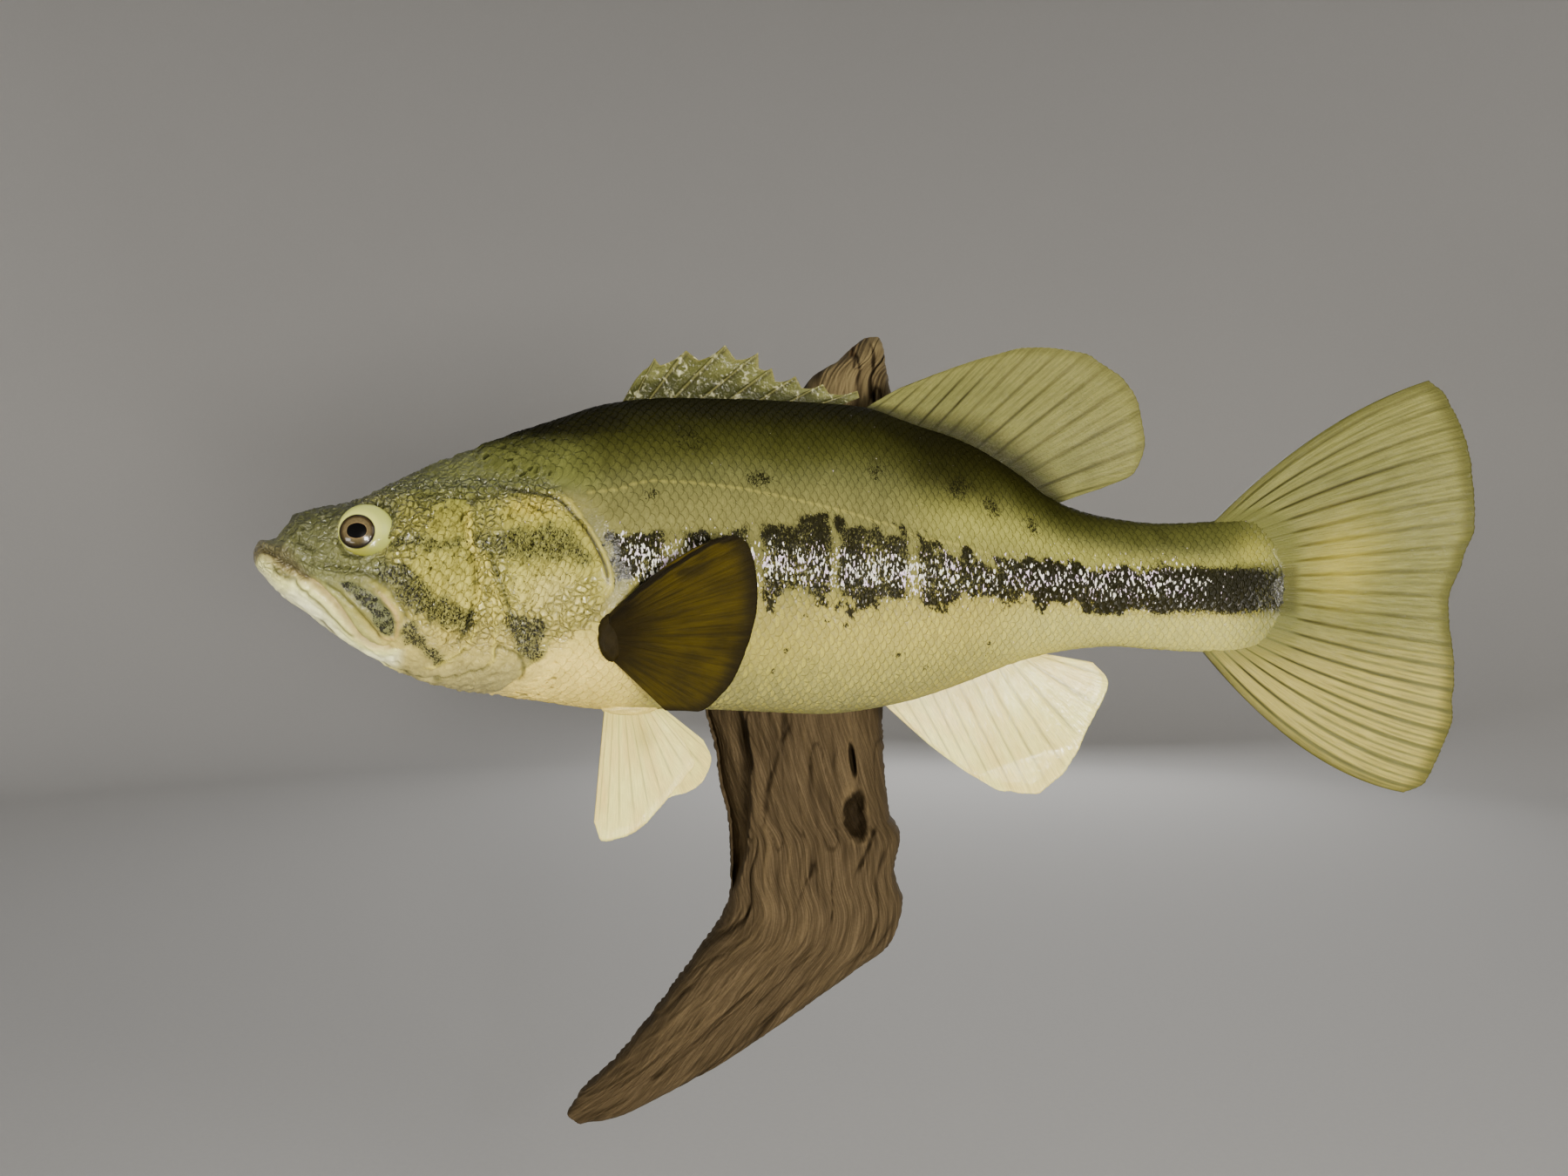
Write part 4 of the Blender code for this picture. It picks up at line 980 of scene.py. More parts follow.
def read_mark(tree, name, output="Fac"):
    return add_node(tree, "Attribute", attribute_name=name).outputs[output]


def add_bumps(layers):
    """Chain bump nodes, each a height and its depth in metres, and put out the last one's normal."""
    inputs = {"Strength": 1}
    for height, depth in layers:
        inputs.update({"Height": height, "Distance": depth})
        inputs["Normal"] = add_node(height.id_data, "Bump", inputs).outputs[0]
    return inputs["Normal"]


def add_net(tree, size, wander):
    """Distance to the edges of a net of cells of this size in metres, its lines bent by noise."""
    bend = add_noise(tree, 2.2 * size, 2).node.outputs["Color"]
    shift = add_node(tree, "VectorMath", {0: bend, 1: (0.5, 0.5, 0.5)}, operation="SUBTRACT")
    grown = add_node(tree, "VectorMath", {0: shift.outputs[0], "Scale": wander}, operation="SCALE")
    where = add_node(tree, "TexCoord").outputs["Object"]
    moved = add_node(tree, "VectorMath", {0: where, 1: grown.outputs[0]}, operation="ADD")
    cells = add_node(tree, "TexVoronoi", {"Vector": moved.outputs[0], "Scale": 1 / size},
                     feature="DISTANCE_TO_EDGE")
    return cells.outputs["Distance"]


def flecked_paint(tree, noise, low, high):
    """The paint kept on the points, its light changed by noise from low to high."""
    light = remap(noise, 0.3, 0.7, low, high)
    grey = add_node(tree, "CombineColor", {0: light, 1: light, 2: light}).outputs[0]
    return mix_colour(tree, 1, read_mark(tree, "paint", "Color"), grey, "MULTIPLY")


def inked(tree, colour):
    """Lay the black over a colour as fine ragged strokes, closer together where there is more of it."""
    strokes = add_noise(tree, 0.0007, 3, 0.62, (1, 1, 0.55), 0.8)
    gap = maths("SUBTRACT", remap(read_mark(tree, "ink"), 0, 1, 0.2, 0.77), strokes)
    return mix_colour(tree, remap(gap, -0.03, 0.05, 0, 0.95), colour, shade(30, 26, 9))


def lacquered_skin(name, pebble, fleck, roughness):
    """Painted skin under varnish, with pale specks painted on the netted parts as glints; pebble is the
    depth of its bumps and fleck the paint's change.
    """
    material, tree, shader = start_material(name)
    coarse = add_noise(tree, 0.0026, 4)
    small = add_noise(tree, 0.0009, 2)
    net = add_net(tree, 0.0029, 0.0036)
    netted = read_mark(tree, "net")
    glint_noise = add_noise(tree, 0.0012, 1.5, 0.5, (1, 1, 0.6), 0.6)
    lines = maths("MULTIPLY", remap(net, 0, 0.17, 0.62, 0), netted)
    # pale specks painted into the colour as glints of the varnish
    painted_glints = maths("MULTIPLY", remap(glint_noise, 0.65, 0.72, 0, 0.5), netted)
    raised = maths("MULTIPLY", remap(net, 0, 0.22, 0, 1), netted)
    colour = flecked_paint(tree, coarse, 1 - fleck, 1 + fleck)
    colour = inked(tree, mix_colour(tree, lines, colour, shade(100, 96, 54)))
    normal = add_bumps(((raised, 0.0014), (coarse, pebble), (small, pebble * 0.35)))
    feed(shader, {
        "Base Color": mix_colour(tree, painted_glints, colour, (0.76, 0.74, 0.46)),
        "Roughness": remap(small, 0.3, 0.7, roughness - 0.08, roughness + 0.1),
        "Normal": normal, "Coat Normal": normal,
        "Coat Weight": remap(netted, 0, 0.6, 0.3, 0.9), "Coat Roughness": 0.05,
        "Specular IOR Level": 0.2})
    return material


skin_finish = lacquered_skin("lacquered_skin", 0.0006, 0.12, 0.42)
columns = skin_arc.shape[1]
skin_points = closed_points(SKIN, SKIN[0].mean(axis=0), SKIN[-1].mean(axis=0))
skin_points[:, 1] = np.maximum(skin_points[:, 1], cad_box[0][1])        # never nearer than the solid
skin = new_piece("skin", skin_points, closed_faces(SKIN_RINGS, columns), skin_finish, (
    "head", "lower_jaw", "trunk", "tail_stalk", "gill_cover_left", "gill_cover_right",
    "upper_jaw_left", "upper_jaw_right"))
mark(skin, "paint", closed_points(skin_colour, skin_colour[0], skin_colour[-1]))
mark(skin, "ink", closed_points(skin_ink, skin_ink[0], skin_ink[-1]))
plates = ease(skin_along + 0.6 * skin_up, 46, 62) * (0.12 + 0.88 * ease(skin_up, -30, -14))
plates = plates * (1 - 0.25 * ease(skin_along, 80, 90))
plates = plates * ease(skin_along + 0.45 * np.maximum(skin_up, 0), 138, 128)
plates = plates * (1 - 0.8 * ease(skin_up, 38, 50))
snout_net = 0.35 * ease(skin_along + 0.6 * skin_up, 60, 44) * ease(skin_up, 0, 8)
mark(skin, "net", closed_points(np.maximum(plates, snout_net), 0, 0))

# %% [markdown]
# ## Scales
# Each scale is a thin plate rooted in the skin, lying back over the roots of the next ones. A model that
# leaves Blender keeps only real mesh, so one plate's small grid of points is added to the array of all
# roots at once, and every point of every plate is looked up on the skin. Rows run along the lateral line,
# the row of pierced scales down the middle of the side.

# %% Rows of scales
# the lateral line: along and up
LATERAL = (
    (122, 38), (136.7, 40.3), (151.9, 44), (175.1, 44), (194.9, 42.1), (215.1, 38.7), (235.8, 34.6),
    (256.9, 29.5), (278.3, 22.7), (320, 13), (380, 7.5), (463, 2.8),
)
SCALE_STEP = ((84, 4.3), (136, 4.5), (200, 4.15), (300, 3.9), (400, 3.5), (463, 3.1))
ROW_STEP = ((84, 3.1), (136, 3.4), (250, 3.35), (350, 3), (463, 2.5))
COAT_SPAN = (84, 458)           # the coat's first and last column, along the body
COAT_ROWS = (-34, 46)           # rows above and below the lateral line
BELLY_ROW = 17                  # from this row down the plates are the belly's
SCALE_REACH = 1.75              # length of a plate, in steps along its row
SCALE_WIDTH = 2.1               # width of a plate, in steps between rows
SCALE_RISE = 0.36               # its rear edge stands this far out of the skin
SCALE_THICK = 0.22
BAKE_SPOT = 0.003               # size of one plate's patch on the coat's own map
SCALE_TURNS = (0, 0.38, 0.72, 0.9, 1)
SCALE_COLUMNS = 7
# where the coat starts behind the head, top to bottom
COAT_FRONT = (
    (66, 70), (78, 56), (86, 49), (96, 45.4), (113, 42.6), (120.5, 38.2), (125.4, 32), (130, 24.6),
    (134, 17.8), (137.6, 9.8), (139.8, 2), (137.4, -4.4), (132, -10), (127.4, -15.4), (122.6, -19.4),
    (117.6, -21.6), (114.2, -25), (112.4, -30), (106.8, -35.6), (103.2, -40.6), (98, -45), (92, -60),
)
EVEN_ROWS = np.arange(SKIN_RINGS, dtype=float)
LATERAL_ARC = np.stack([(a, arc_at(a, u)[0]) for a, u in LATERAL], axis=1)


def on_skin(along, arc, hand, lift):
    """World points on the finished skin, moved out by lift."""
    row = np.clip(np.interp(along, SKIN_ALONG, EVEN_ROWS), 0, SKIN_RINGS - 1.001)
    share = np.clip(arc / girth_at(along), -0.02, 1.02) * (HALF_POINTS - 1)
    column = np.where(hand > 0, share, columns - share)
    return read_grid(SKIN, row, column) + read_grid(SKIN_OUT, row, column) * (lift * MM)[..., None]


def arc_lean(along):
    """Place of the lateral line on the unrolled skin, which the rows run beside."""
    return np.interp(along, LATERAL_ARC[0], LATERAL_ARC[1])


def scale_roots():
    """Roots of all plates of one side: columns a step apart, every second row half a step on."""
    stops = [COAT_SPAN[0]]
    while stops[-1] < COAT_SPAN[1]:
        stops.append(stops[-1] + float(flow(SCALE_STEP, stops[-1])[0]))
    stops = np.array(stops)
    row = np.arange(*COAT_ROWS)[:, None]
    along = stops[None, :] + np.where(row % 2 == 0, 0, 0.5) * flow(SCALE_STEP, stops)[:, 0]
    arc = arc_lean(along) + row * flow(ROW_STEP, along)[..., 0]
    girth = girth_at(along)
    ragged_end = 452 + 3 * roughen((arc / 5, 0), 93)
    kept = (arc > 0.8) & (arc < girth - 0.6) & (along < ragged_end)
    return along[kept], arc[kept], np.broadcast_to(row, along.shape)[kept]


def behind_head(along, arc):
    """True where the coat covers the skin: behind the line where the gill cover ends."""
    gap, reached, within = gap_to(along, arc, COAT_FRONT, 60)
    return (within < 0) & (gap > 0.4)


def plate_shape():
    """One plate on a grid: across it (-1 to 1), from root to edge (0 to 1), and its outline's reach.

    The rear edge is an arch, 0.6 + 0.4 * sqrt(1 - across squared) of the plate's length.
    """
    across, turn = np.meshgrid(np.linspace(-1, 1, SCALE_COLUMNS), SCALE_TURNS)
    reach = 0.6 + 0.4 * np.sqrt(1 - 0.98 * across**2)
    return across, turn, reach


def plate_faces():
    """Faces of one closed plate: its top grid, its rim, and one flat underside."""
    rows, wide = len(SCALE_TURNS), SCALE_COLUMNS
    top = grid_faces(rows, wide)
    rim = np.concatenate([
        np.arange(wide), np.arange(1, rows) * wide + wide - 1,
        (rows - 1) * wide + np.arange(wide - 2, -1, -1), np.arange(rows - 2, 0, -1) * wide])
    under = rows * wide + np.arange(len(rim))
    sides = np.stack([rim, under, np.roll(under, -1), np.roll(rim, -1)], axis=-1)
    return top, sides, under[None, ::-1], rim


def grow_scales(along, arc, hand, step, wide, rise, luck):
    """Points of many closed plates at once, with where each point is on the plate and the skin."""
    across, turn, reach = plate_shape()
    rim = plate_faces()[3]
    across, turn, reach = (part.ravel()[None, :] for part in (across, turn, reach))
    slope = (arc_lean(along + 2) - arc_lean(along - 2))[:, None] / 4
    length = SCALE_REACH * step[:, None] * (1 + 0.05 * luck[:, :1])
    ahead = length * reach * turn
    sideways = 0.5 * wide[:, None] * across * (0.86 + 0.14 * np.sin(np.pi * np.clip(turn, 0, 0.8)))
    at_along = along[:, None] + ahead
    at_arc = arc[:, None] + slope * ahead + sideways
    lift = -0.3 + (rise[:, None] + 0.3) * turn * (0.9 + 0.1 * turn)
    lift = lift + 0.13 * rise[:, None] * (1 - across**2) * turn + 0.12 * luck[:, 1:2] * across * turn
    at_along = np.concatenate([at_along, at_along[:, rim]], axis=1)
    at_arc = np.concatenate([at_arc, at_arc[:, rim]], axis=1)
    lift = np.concatenate([lift, lift[:, rim] - SCALE_THICK], axis=1)
    hands = np.broadcast_to(hand[:, None], at_along.shape)
    across, turn = (np.concatenate([part, part[:, rim]], axis=1) + 0 * at_along for part in (across, turn))
    points = on_skin(np.clip(at_along, 0.2, BODY_LENGTH - 0.2), at_arc, hands, lift)
    return points, at_along, at_arc, hands, across, turn


lateral_roots = scale_roots()
print("places for scales on one side:", len(lateral_roots[0]))

# %% [markdown]
# ## The scales' finish
# The same varnish lies over the scales, but each has a darker rear edge, partly its own margin and partly
# painted shade where it overlaps the next, a middle painted paler as a highlight, fine growth rings and,
# here and there, pale dashes painted as glints. A plate's own coordinates are kept on its points, so a
# wave in the shader can draw the rings.

# %% Scale finish


def varnished_scales(name):
    """Scale finish: painted colour, growth rings as bumps, pale dashes painted as glints on plates of the
    shining band, which are glossier than others.
    """
    material, tree, shader = start_material(name)
    fleck = add_noise(tree, 0.0011)
    gloss = read_mark(tree, "gloss")
    dashes = add_noise(tree, 0.0009, 1, 0.5, (1, 1, 0.42))
    hue = remap(add_noise(tree, 0.006, 2), 0.45, 0.6, 0, 1)
    crumple = add_noise(tree, 0.0022, 1.5, 0.5, (1, 1, 0.6))
    # silvery and lilac dashes painted into the colour as glints on the shining band
    silver_sheen = mix_colour(tree, hue, (0.86, 0.84, 0.72), (0.84, 0.66, 0.84))
    shown = maths("ADD", dashes, remap(read_mark(tree, "painted_glint"), 0, 1, -0.28, 0.05))
    shown = remap(shown, 0.53, 0.57, 0, 1)
    creased = maths("MULTIPLY", crumple, remap(gloss, 0, 1, 0.1, 1))
    waves = maths("SINE", maths("MULTIPLY", read_mark(tree, "turn"), GROWTH_RINGS))
    normal = add_bumps(((waves, 0.00003), (fleck, 0.00016), (creased, 0.0018)))
    feed(shader, {
        "Base Color": mix_colour(tree, shown, inked(tree, flecked_paint(tree, fleck, 0.88, 1.12)), silver_sheen),
        "Roughness": remap(gloss, 0, 1, 0.5, 0.4),
        "Normal": normal, "Coat Normal": normal,
        "Coat Weight": maths("MULTIPLY_ADD", remap(shown, 0, 1, 0.02, 0.8), gloss, 0.02),
        "Coat Roughness": 0.05, "Specular IOR Level": 0.05})
    return material


GROWTH_RINGS = 42               # rings over one plate, as an angle in radians
SHINE_LINE = ((130, 12), (205, 10), (240, 8.5), (300, 5), (463, 0))  # middle of the shining band
scale_finish = varnished_scales("varnished_scales")


def scale_piece(name, along, arc, row, hand, seed, size=1, rise=SCALE_RISE, lined=0):
    """One joined mesh of plates, with the skin's colours, darker edges partly painted as shade, a middle
    painted lighter as a highlight, and its own bake map.
    """
    key = np.stack([np.round(along * 8), row], axis=-1).astype(np.int64)
    luck = np.stack([scramble(key, seed + k) for k in range(3)], axis=-1)
    hands = np.full(len(along), hand)
    step = size * flow(SCALE_STEP, along)[:, 0]
    wide = size * SCALE_WIDTH * flow(ROW_STEP, along)[:, 0]
    low = ease(arc / girth_at(along), 0.45, 0.65) * ease(along, 128, 134)
    rises = rise * (1 - 0.62 * low) * (1 - 0.7 * ease(along, 425, 450))
    points, at_along, at_arc, at_hand, across, turn = grow_scales(along, arc, hands, step, wide, rises, luck)
    plates, each = at_along.shape
    offsets = (np.arange(plates) * each)[:, None, None]
    face_sets = [(faces[None] + offsets).reshape(-1, faces.shape[1]) for faces in plate_faces()[:3]]
    piece = new_piece(name, points, face_sets, scale_finish)
    colour, ink, edges = bass_colours(at_along.ravel(), at_arc.ravel(), at_hand.ravel())
    colour, edges = colour.reshape(plates, each, 3), edges.reshape(plates, each)
    edges = np.maximum(edges, lined)
    # darker rear edges: partly the scales' own margins, partly painted shade where each plate overlaps the
    # next; the paler middle is a painted highlight
    rear = ease(turn, 0.84, 0.99)
    middle = mound(turn - 0.78, 0.2) * (1 - across**2)
    dark = (0.03 + (0.17 + 0.35 * lined) * edges) * rear
    colour = colour * (1 - dark + (0.04 + 0.12 * edges) * middle * (1 - rear))[..., None]
    colour *= (1 + 0.07 * luck[:, :1])[..., None]
    yellow = low[:, None] * middle * (1 - rear) * (0.5 + 0.5 * luck[:, 2:3])
    # the pierced scales of the lateral line: a pale pore over a dark one
    line = (row == 0)[:, None]
    pore = line * mound(across, 0.17) * ease(turn, 0.62, 0.72) * ease(turn, 0.97, 0.86)
    below = line * mound(across + 0.5, 0.22) * ease(turn, 0.6, 0.8)
    fading = ease(at_along, 335, 300)
    colour = paint_over(
        colour, (0.55 * yellow, (204, 196, 124)), (pore * fading * 0.4, (196, 188, 132)),
        (below * fading * 0.5, (78, 72, 34)))
    # how much of each plate carries pale dashes painted as glints
    level = up_at(at_along, at_arc) - np.interp(at_along, *np.transpose(SHINE_LINE))
    girdle = mound(level / 13, 1) * ease(at_along, 445, 410) * (lined == 0)
    crescent = mound(turn - 0.74, 0.1) * (1 - across**2) * ease(at_along, 270, 310)
    girdle = girdle * (1 - 0.4 * ease(at_along, 270, 310) + 0.6 * crescent) * (ink > 0).reshape(turn.shape)
    mark(piece, "paint", np.clip(colour, 0, 1).reshape(-1, 3))
    mark(piece, "ink", np.clip(ink, 0, 1))
    mark(piece, "painted_glint", (girdle * (0.85 + 0.15 * luck[:, 2:3])).ravel())
    mark(piece, "gloss", np.maximum(mound(level, 13) * ease(at_along, 445, 400), lined).ravel())
    mark(piece, "turn", turn.ravel())
    share = 0.5 + 0.49 * hand * (arc / girth_at(along))
    lay_out(piece, "OFBake", (0.01 + 0.98 * along[:, None] / BODY_LENGTH + BAKE_SPOT * (turn - 0.5)).ravel(),
            (share[:, None] + 0.5 * BAKE_SPOT * across).ravel())
    return piece


along_all, arc_all, row_all = lateral_roots
covered = behind_head(along_all, arc_all)
bands = {"back": row_all < 0, "side": (row_all >= 0) & (row_all < BELLY_ROW), "belly": row_all >= BELLY_ROW}
for hand, tail in SIDES:
    for part, rows in bands.items():
        chosen = covered & rows
        scale_piece(f"scales_{part}_{tail}", along_all[chosen], arc_all[chosen], row_all[chosen], hand, 61)

# %% [markdown]
# ## Small scales of the cheek and the gill cover
# These carry smaller plates, half sunk in the skin, made by the same function from a tighter lattice that
# is kept only inside two outlines.

# %% Cheek scales
CHEEK_FIELD = (
    (56, 12), (60, 24), (66, 33), (74, 35), (77, 28), (76.5, 16), (79.5, 6), (80, -4), (77.5, -14),
    (73, -21), (66, -24), (60.5, -14), (57, -4), (54, 4),
)
COVER_FIELD = (
    (90, 33), (99, 34), (107, 29), (114, 29.6), (121, 24), (126, 16), (129.4, 8), (126, 4.6), (118, 1),
    (110, -3), (104, -9), (98, -10), (93.6, 2), (90.4, 14),
)
SMALL_SCALE = 0.74              # of a body scale


def field_roots(places, margin):
    """Lattice of small plates inside an outline."""
    step, rows = 3.1, 2.5
    along, row = np.meshgrid(np.arange(50, 134, step), np.arange(0, 44))
    key = np.stack([np.round(along * 4), row], axis=-1).astype(np.int64)
    along = along + np.where(row % 2 == 0, 0, 0.5) * step + 0.7 * scramble(key, 91)
    arc = 8 + row * rows + 0.07 * (134 - along) + 0.6 * scramble(key, 92)
    deep = patch_depth(along.ravel(), arc.ravel(), places) > margin
    return along.ravel()[deep], arc.ravel()[deep], row.ravel()[deep] + 100


for hand, tail in SIDES:
    fields = [field_roots(CHEEK_FIELD, 0.8), field_roots(COVER_FIELD, 0.8)]
    along, arc, row = (np.concatenate(parts) for parts in zip(*fields))
    scale_piece(f"scales_cheek_{tail}", along, arc, row, hand, 83, SMALL_SCALE, 0.42, 0.85)

# %% [markdown]
# ## The eyes
# A mount has glass eyes: a ball with the iris painted behind clear glass. The ball is one grid of rings
# round the iris, so the rings follow its edge exactly, and the shader reads how far each point is from its
# middle. The bass looks a little forwards, so the iris sits off the middle of the pale ball.

# %% Eyes
EYE_BALL = 10.6                 # radius of the ball in its own plane
EYE_BULGE = 4.2                 # from its middle plane to its front
EYE_SUNK = 1.5                  # the middle plane lies this far under the skin
EYE_FORWARD = 9                 # turned towards the nose, degrees
EYE_UPWARD = 12                 # and turned upwards
IRIS_OFF = (-3.1, -1.2)         # iris middle from the ball's middle, towards the tail and up
IRIS = 6.65
EYE_RINGS = (0, 0.6, 1.2, 1.8, 2.3, 2.7, 3, 3.2, 3.4, 3.6, 4, 4.5, 5, 5.4, 5.8, 6.1, 6.4, 6.65, 6.8)
EYE_OUTER = 14                  # more rings from the iris to the ball's edge
EYE_AROUND = 96


def eye_material():
    """Glass eye: pupil, warm iris with a pale inner ring and a dark rim, and the pale ball round it."""
    material, tree, shader = start_material("glass_eye")
    ring = read_mark(tree, "ring")
    ramp = add_node(tree, "ValToRGB", {"Fac": remap(ring, 0, 10, 0, 1)})
    stops = (
        (0, 12, 10, 10), (0.325, 14, 11, 10), (0.343, 186, 164, 134), (0.365, 152, 130, 102),
        (0.5, 148, 122, 96), (0.555, 104, 80, 56), (0.615, 66, 47, 31), (0.655, 34, 24, 16),
        (0.672, 120, 116, 90), (0.71, 206, 203, 164), (1, 198, 196, 152),
    )
    elements = ramp.color_ramp.elements
    elements[1].position = stops[-1][0]
    for stop in stops[1:-1]:
        elements.new(stop[0])
    for element, stop in zip(elements, stops):
        element.color = (*shade(*stop[1:]), 1)
    shadow = mix_colour(tree, read_mark(tree, "lower"), (1, 1, 1), (0.4, 0.38, 0.2))
    tone = mix_colour(tree, 1, ramp.outputs["Color"], shadow, "MULTIPLY")
    streaks = remap(add_noise(tree, 0.0011), 0.35, 0.7, 0, 0.35)
    mottled = mix_colour(tree, streaks, tone, (0.12, 0.075, 0.035), "MULTIPLY")
    feed(shader, {
        "Base Color": mix_colour(tree, remap(ring, 6.5, 6.8, 1, 0), tone, mottled), "Roughness": 0.22,
        "Coat Weight": 0.35, "Coat Roughness": 0.02, "Specular IOR Level": 0.15})
    return material


def unit(vector):
    return vector / np.linalg.norm(vector)


def make_eye(name, hand, node, material):
    """A closed ball cut by rings round the iris: a low dome in front, the same dome behind.

    Height over its middle plane is bulge * sqrt(1 - (distance / radius) squared), with the
    cornea raised over the iris by a shallow bowl.
    """
    base = place(EYE_SPOT[0], hand * body_side(*EYE_SPOT), EYE_SPOT[1])
    sideways = unit(place(EYE_SPOT[0], hand, 0) - place(EYE_SPOT[0], 0, 0))
    backwards = unit(place(EYE_SPOT[0] + 1, 0, 0) - place(EYE_SPOT[0], 0, 0))
    turn, rise = math.radians(EYE_FORWARD), math.radians(EYE_UPWARD)
    gaze = unit(sideways - backwards * math.tan(turn) + np.array([0, 0, math.tan(rise)]))
    to_tail = unit(backwards - gaze * np.dot(backwards, gaze))
    upward = unit(np.cross(gaze, to_tail))
    upward = upward * np.sign(upward[2])
    angle = np.linspace(0, 2 * np.pi, EYE_AROUND, endpoint=False)[None, :]
    toward = np.stack([np.cos(angle), np.sin(angle)], axis=-1)
    off = np.array(IRIS_OFF)
    inner = (toward * off).sum(axis=-1)
    edge = -inner + np.sqrt(inner**2 - (off**2).sum() + EYE_BALL**2)
    rings = np.array(EYE_RINGS)[:, None] + 0 * angle
    share = np.linspace(0, 1, EYE_OUTER + 1)[1:, None]
    outer = rings[-1:] + (edge - rings[-1:]) * np.sin(share * np.pi / 2)
    radius = np.concatenate([rings, outer])[..., None]
    flat = off + radius * toward
    far = np.clip((flat**2).sum(axis=-1) / EYE_BALL**2, 0, 1)
    dome = EYE_BULGE * np.sqrt(1 - far)
    cornea = 0.7 * np.clip(1 - (radius[..., 0] / IRIS) ** 2, 0, 1)
    height = dome + cornea - 0.15 * mound(radius[..., 0] - IRIS - 0.1, 0.25)
    centre = base - gaze * EYE_SUNK * MM
    front = centre + (flat[..., :1] * to_tail + flat[..., 1:] * upward + height[..., None] * gaze) * MM
    back = centre + (flat[:-1, :, :1] * to_tail + flat[:-1, :, 1:] * upward - dome[:-1, :, None] * gaze) * MM
    grid = np.concatenate([front[1:], back[::-1][:-1]])
    points = closed_points(grid, front[0, 0], back[0, 0])
    piece = new_piece(name, points, closed_faces(len(grid), EYE_AROUND), material, (node,))
    # the pupil is wider than tall and a little pointed, so its edge is stretched towards nose and tail
    point = 1.06 + 0.16 * np.abs(toward[..., 0]) ** 4 - 0.14 * np.abs(toward[..., 1]) ** 2
    radius = radius[..., 0]
    shown = np.where(radius < 4.5, radius / (1 + (point - 1) * ease(radius, 4.5, 3.4)), radius)
    low = np.clip(-toward[..., 1], 0, 1) * ease(radius, 3, 5)
    for label, values in (("ring", shown), ("lower", low)):
        mark(piece, label, closed_points(np.concatenate([values[1:], values[-2:0:-1]]), 0, 0))


glass = eye_material()
for hand, tail in SIDES:
    make_eye("glass_eye_" + tail, hand, "eye_" + tail, glass)

# %% [markdown]
# ## Fins
# A fin is a web over rays. Spines are single stiff rods; soft rays fork on their way out, so one ridge near
# the body becomes two and then four at the edge. Every fin is one closed sheet, a front and a back grid
# with a column to each place across it and a row to each step from root to edge, and the rays are ridges
# with narrow grooves between them.

# %% Fin helpers
ROOT_SUNK = 0.05                # the sheet starts this share of its reach inside the body


def both_sides(values):
    """A front's values and, mirrored, the back's, so that they run round the sheet."""
    return np.concatenate([values, values[:, ::-1]], axis=1)


def groove(ray, width):
    """1 in the middle between two whole numbers, falling off over a width."""
    return mound(ray - np.floor(ray) - 0.5, width)


def forked_rays(ray, share):
    """Broad rays, 1 high, with narrow grooves down to -1, and more grooves where the rays fork."""
    main = groove(ray, 0.11 + 0.05 * share)
    once = 0.75 * groove(ray + 0.5, 0.1) * ease(share, 0.22, 0.45)
    twice = 0.6 * groove(2 * ray, 0.2) * ease(share, 0.5, 0.75)
    first = 0.3 * groove(2 * ray, 0.2) * ease(share, 0.5, 0.3)
    return 1 - 2 * np.maximum(np.maximum(main, once), np.maximum(twice, first))


def single_rays(ray, share):
    """Narrow rods, one for each whole number, with a flat web between them."""
    from_ray = np.abs(ray - np.round(ray))
    return 2 * mound(from_ray, 0.11) - 1 + 0 * share


def fin_sheet(name, node, material, root, tip, side_of, rays, ridges, paint_of,
              bow=0, rows=60, relief=0.42, ragged=0.008, web=0.5, fleshy=0, sunk=ROOT_SUNK, seed=1):
    """A closed sheet from root to tip points in (along, up); side_of gives its place off the middle.

    The front is moved out and the back in by half the thickness plus the ridges' height.
    """
    columns_across = root.shape[0]
    share = np.linspace(-sunk, 1, rows)[:, None]
    ray = np.linspace(0, rays, columns_across)[None, :]
    frayed = 1 - ragged * (1 - 0.5 * np.cos(8 * np.pi * ray)) * 0.5
    frayed = frayed + ragged * roughen((ray * 1.3, 0), seed, 3)
    reach = np.where(share > 0, share * (1 + (frayed - 1) * ease(share, 0.75, 1)), share)
    along = root[:, 0] + (tip[:, 0] - root[:, 0]) * reach
    up = root[:, 1] + (tip[:, 1] - root[:, 1]) * reach + bow * reach * (1 - reach)
    inward = np.clip(share, 0, 1)
    ridge = ridges(ray, inward)
    flesh = fleshy * mound(inward, 0.09)
    thick = (web + 0.35 * (1 - inward) + flesh) * (1 - 0.75 * ease(inward, 0.9, 1))
    swell = relief * (0.15 + 0.85 * ease(inward, 0, 0.12)) * (0.5 + 0.5 * ridge)
    swell = swell * (1 - 0.45 * inward) * (1 - 0.7 * ease(inward, 0.94, 1))
    waves = 0.35 * soft_random((ray * 0.8, inward * 3), seed + 5) * inward
    side = side_of(along, up) + waves
    front = place(along, side + thick + swell, up)
    back = place(along, side - thick - swell, up)
    around = 2 * columns_across
    left = np.arange(columns_across - 1)
    end = np.stack([left, left + 1, around - 2 - left, around - 1 - left], axis=-1)
    faces = [grid_faces(rows, around, wrap=True), np.concatenate([end[:, ::-1] + (rows - 1) * around, end])]
    piece = new_piece(name, np.concatenate([front, back[:, ::-1]], axis=1), faces, material, (node,))
    both_ray, both_share = (both_sides(np.broadcast_to(part, ridge.shape)) for part in (ray, inward))
    colour = paint_of(both_ray, both_share, both_sides(ridge), both_sides(up))
    mark(piece, "paint", np.clip(colour, 0, 1).reshape(-1, 3))
    mark(piece, "share", both_share.ravel())
    lay_out(piece, "fin", both_ray.ravel() / rays, both_share.ravel())
    return piece


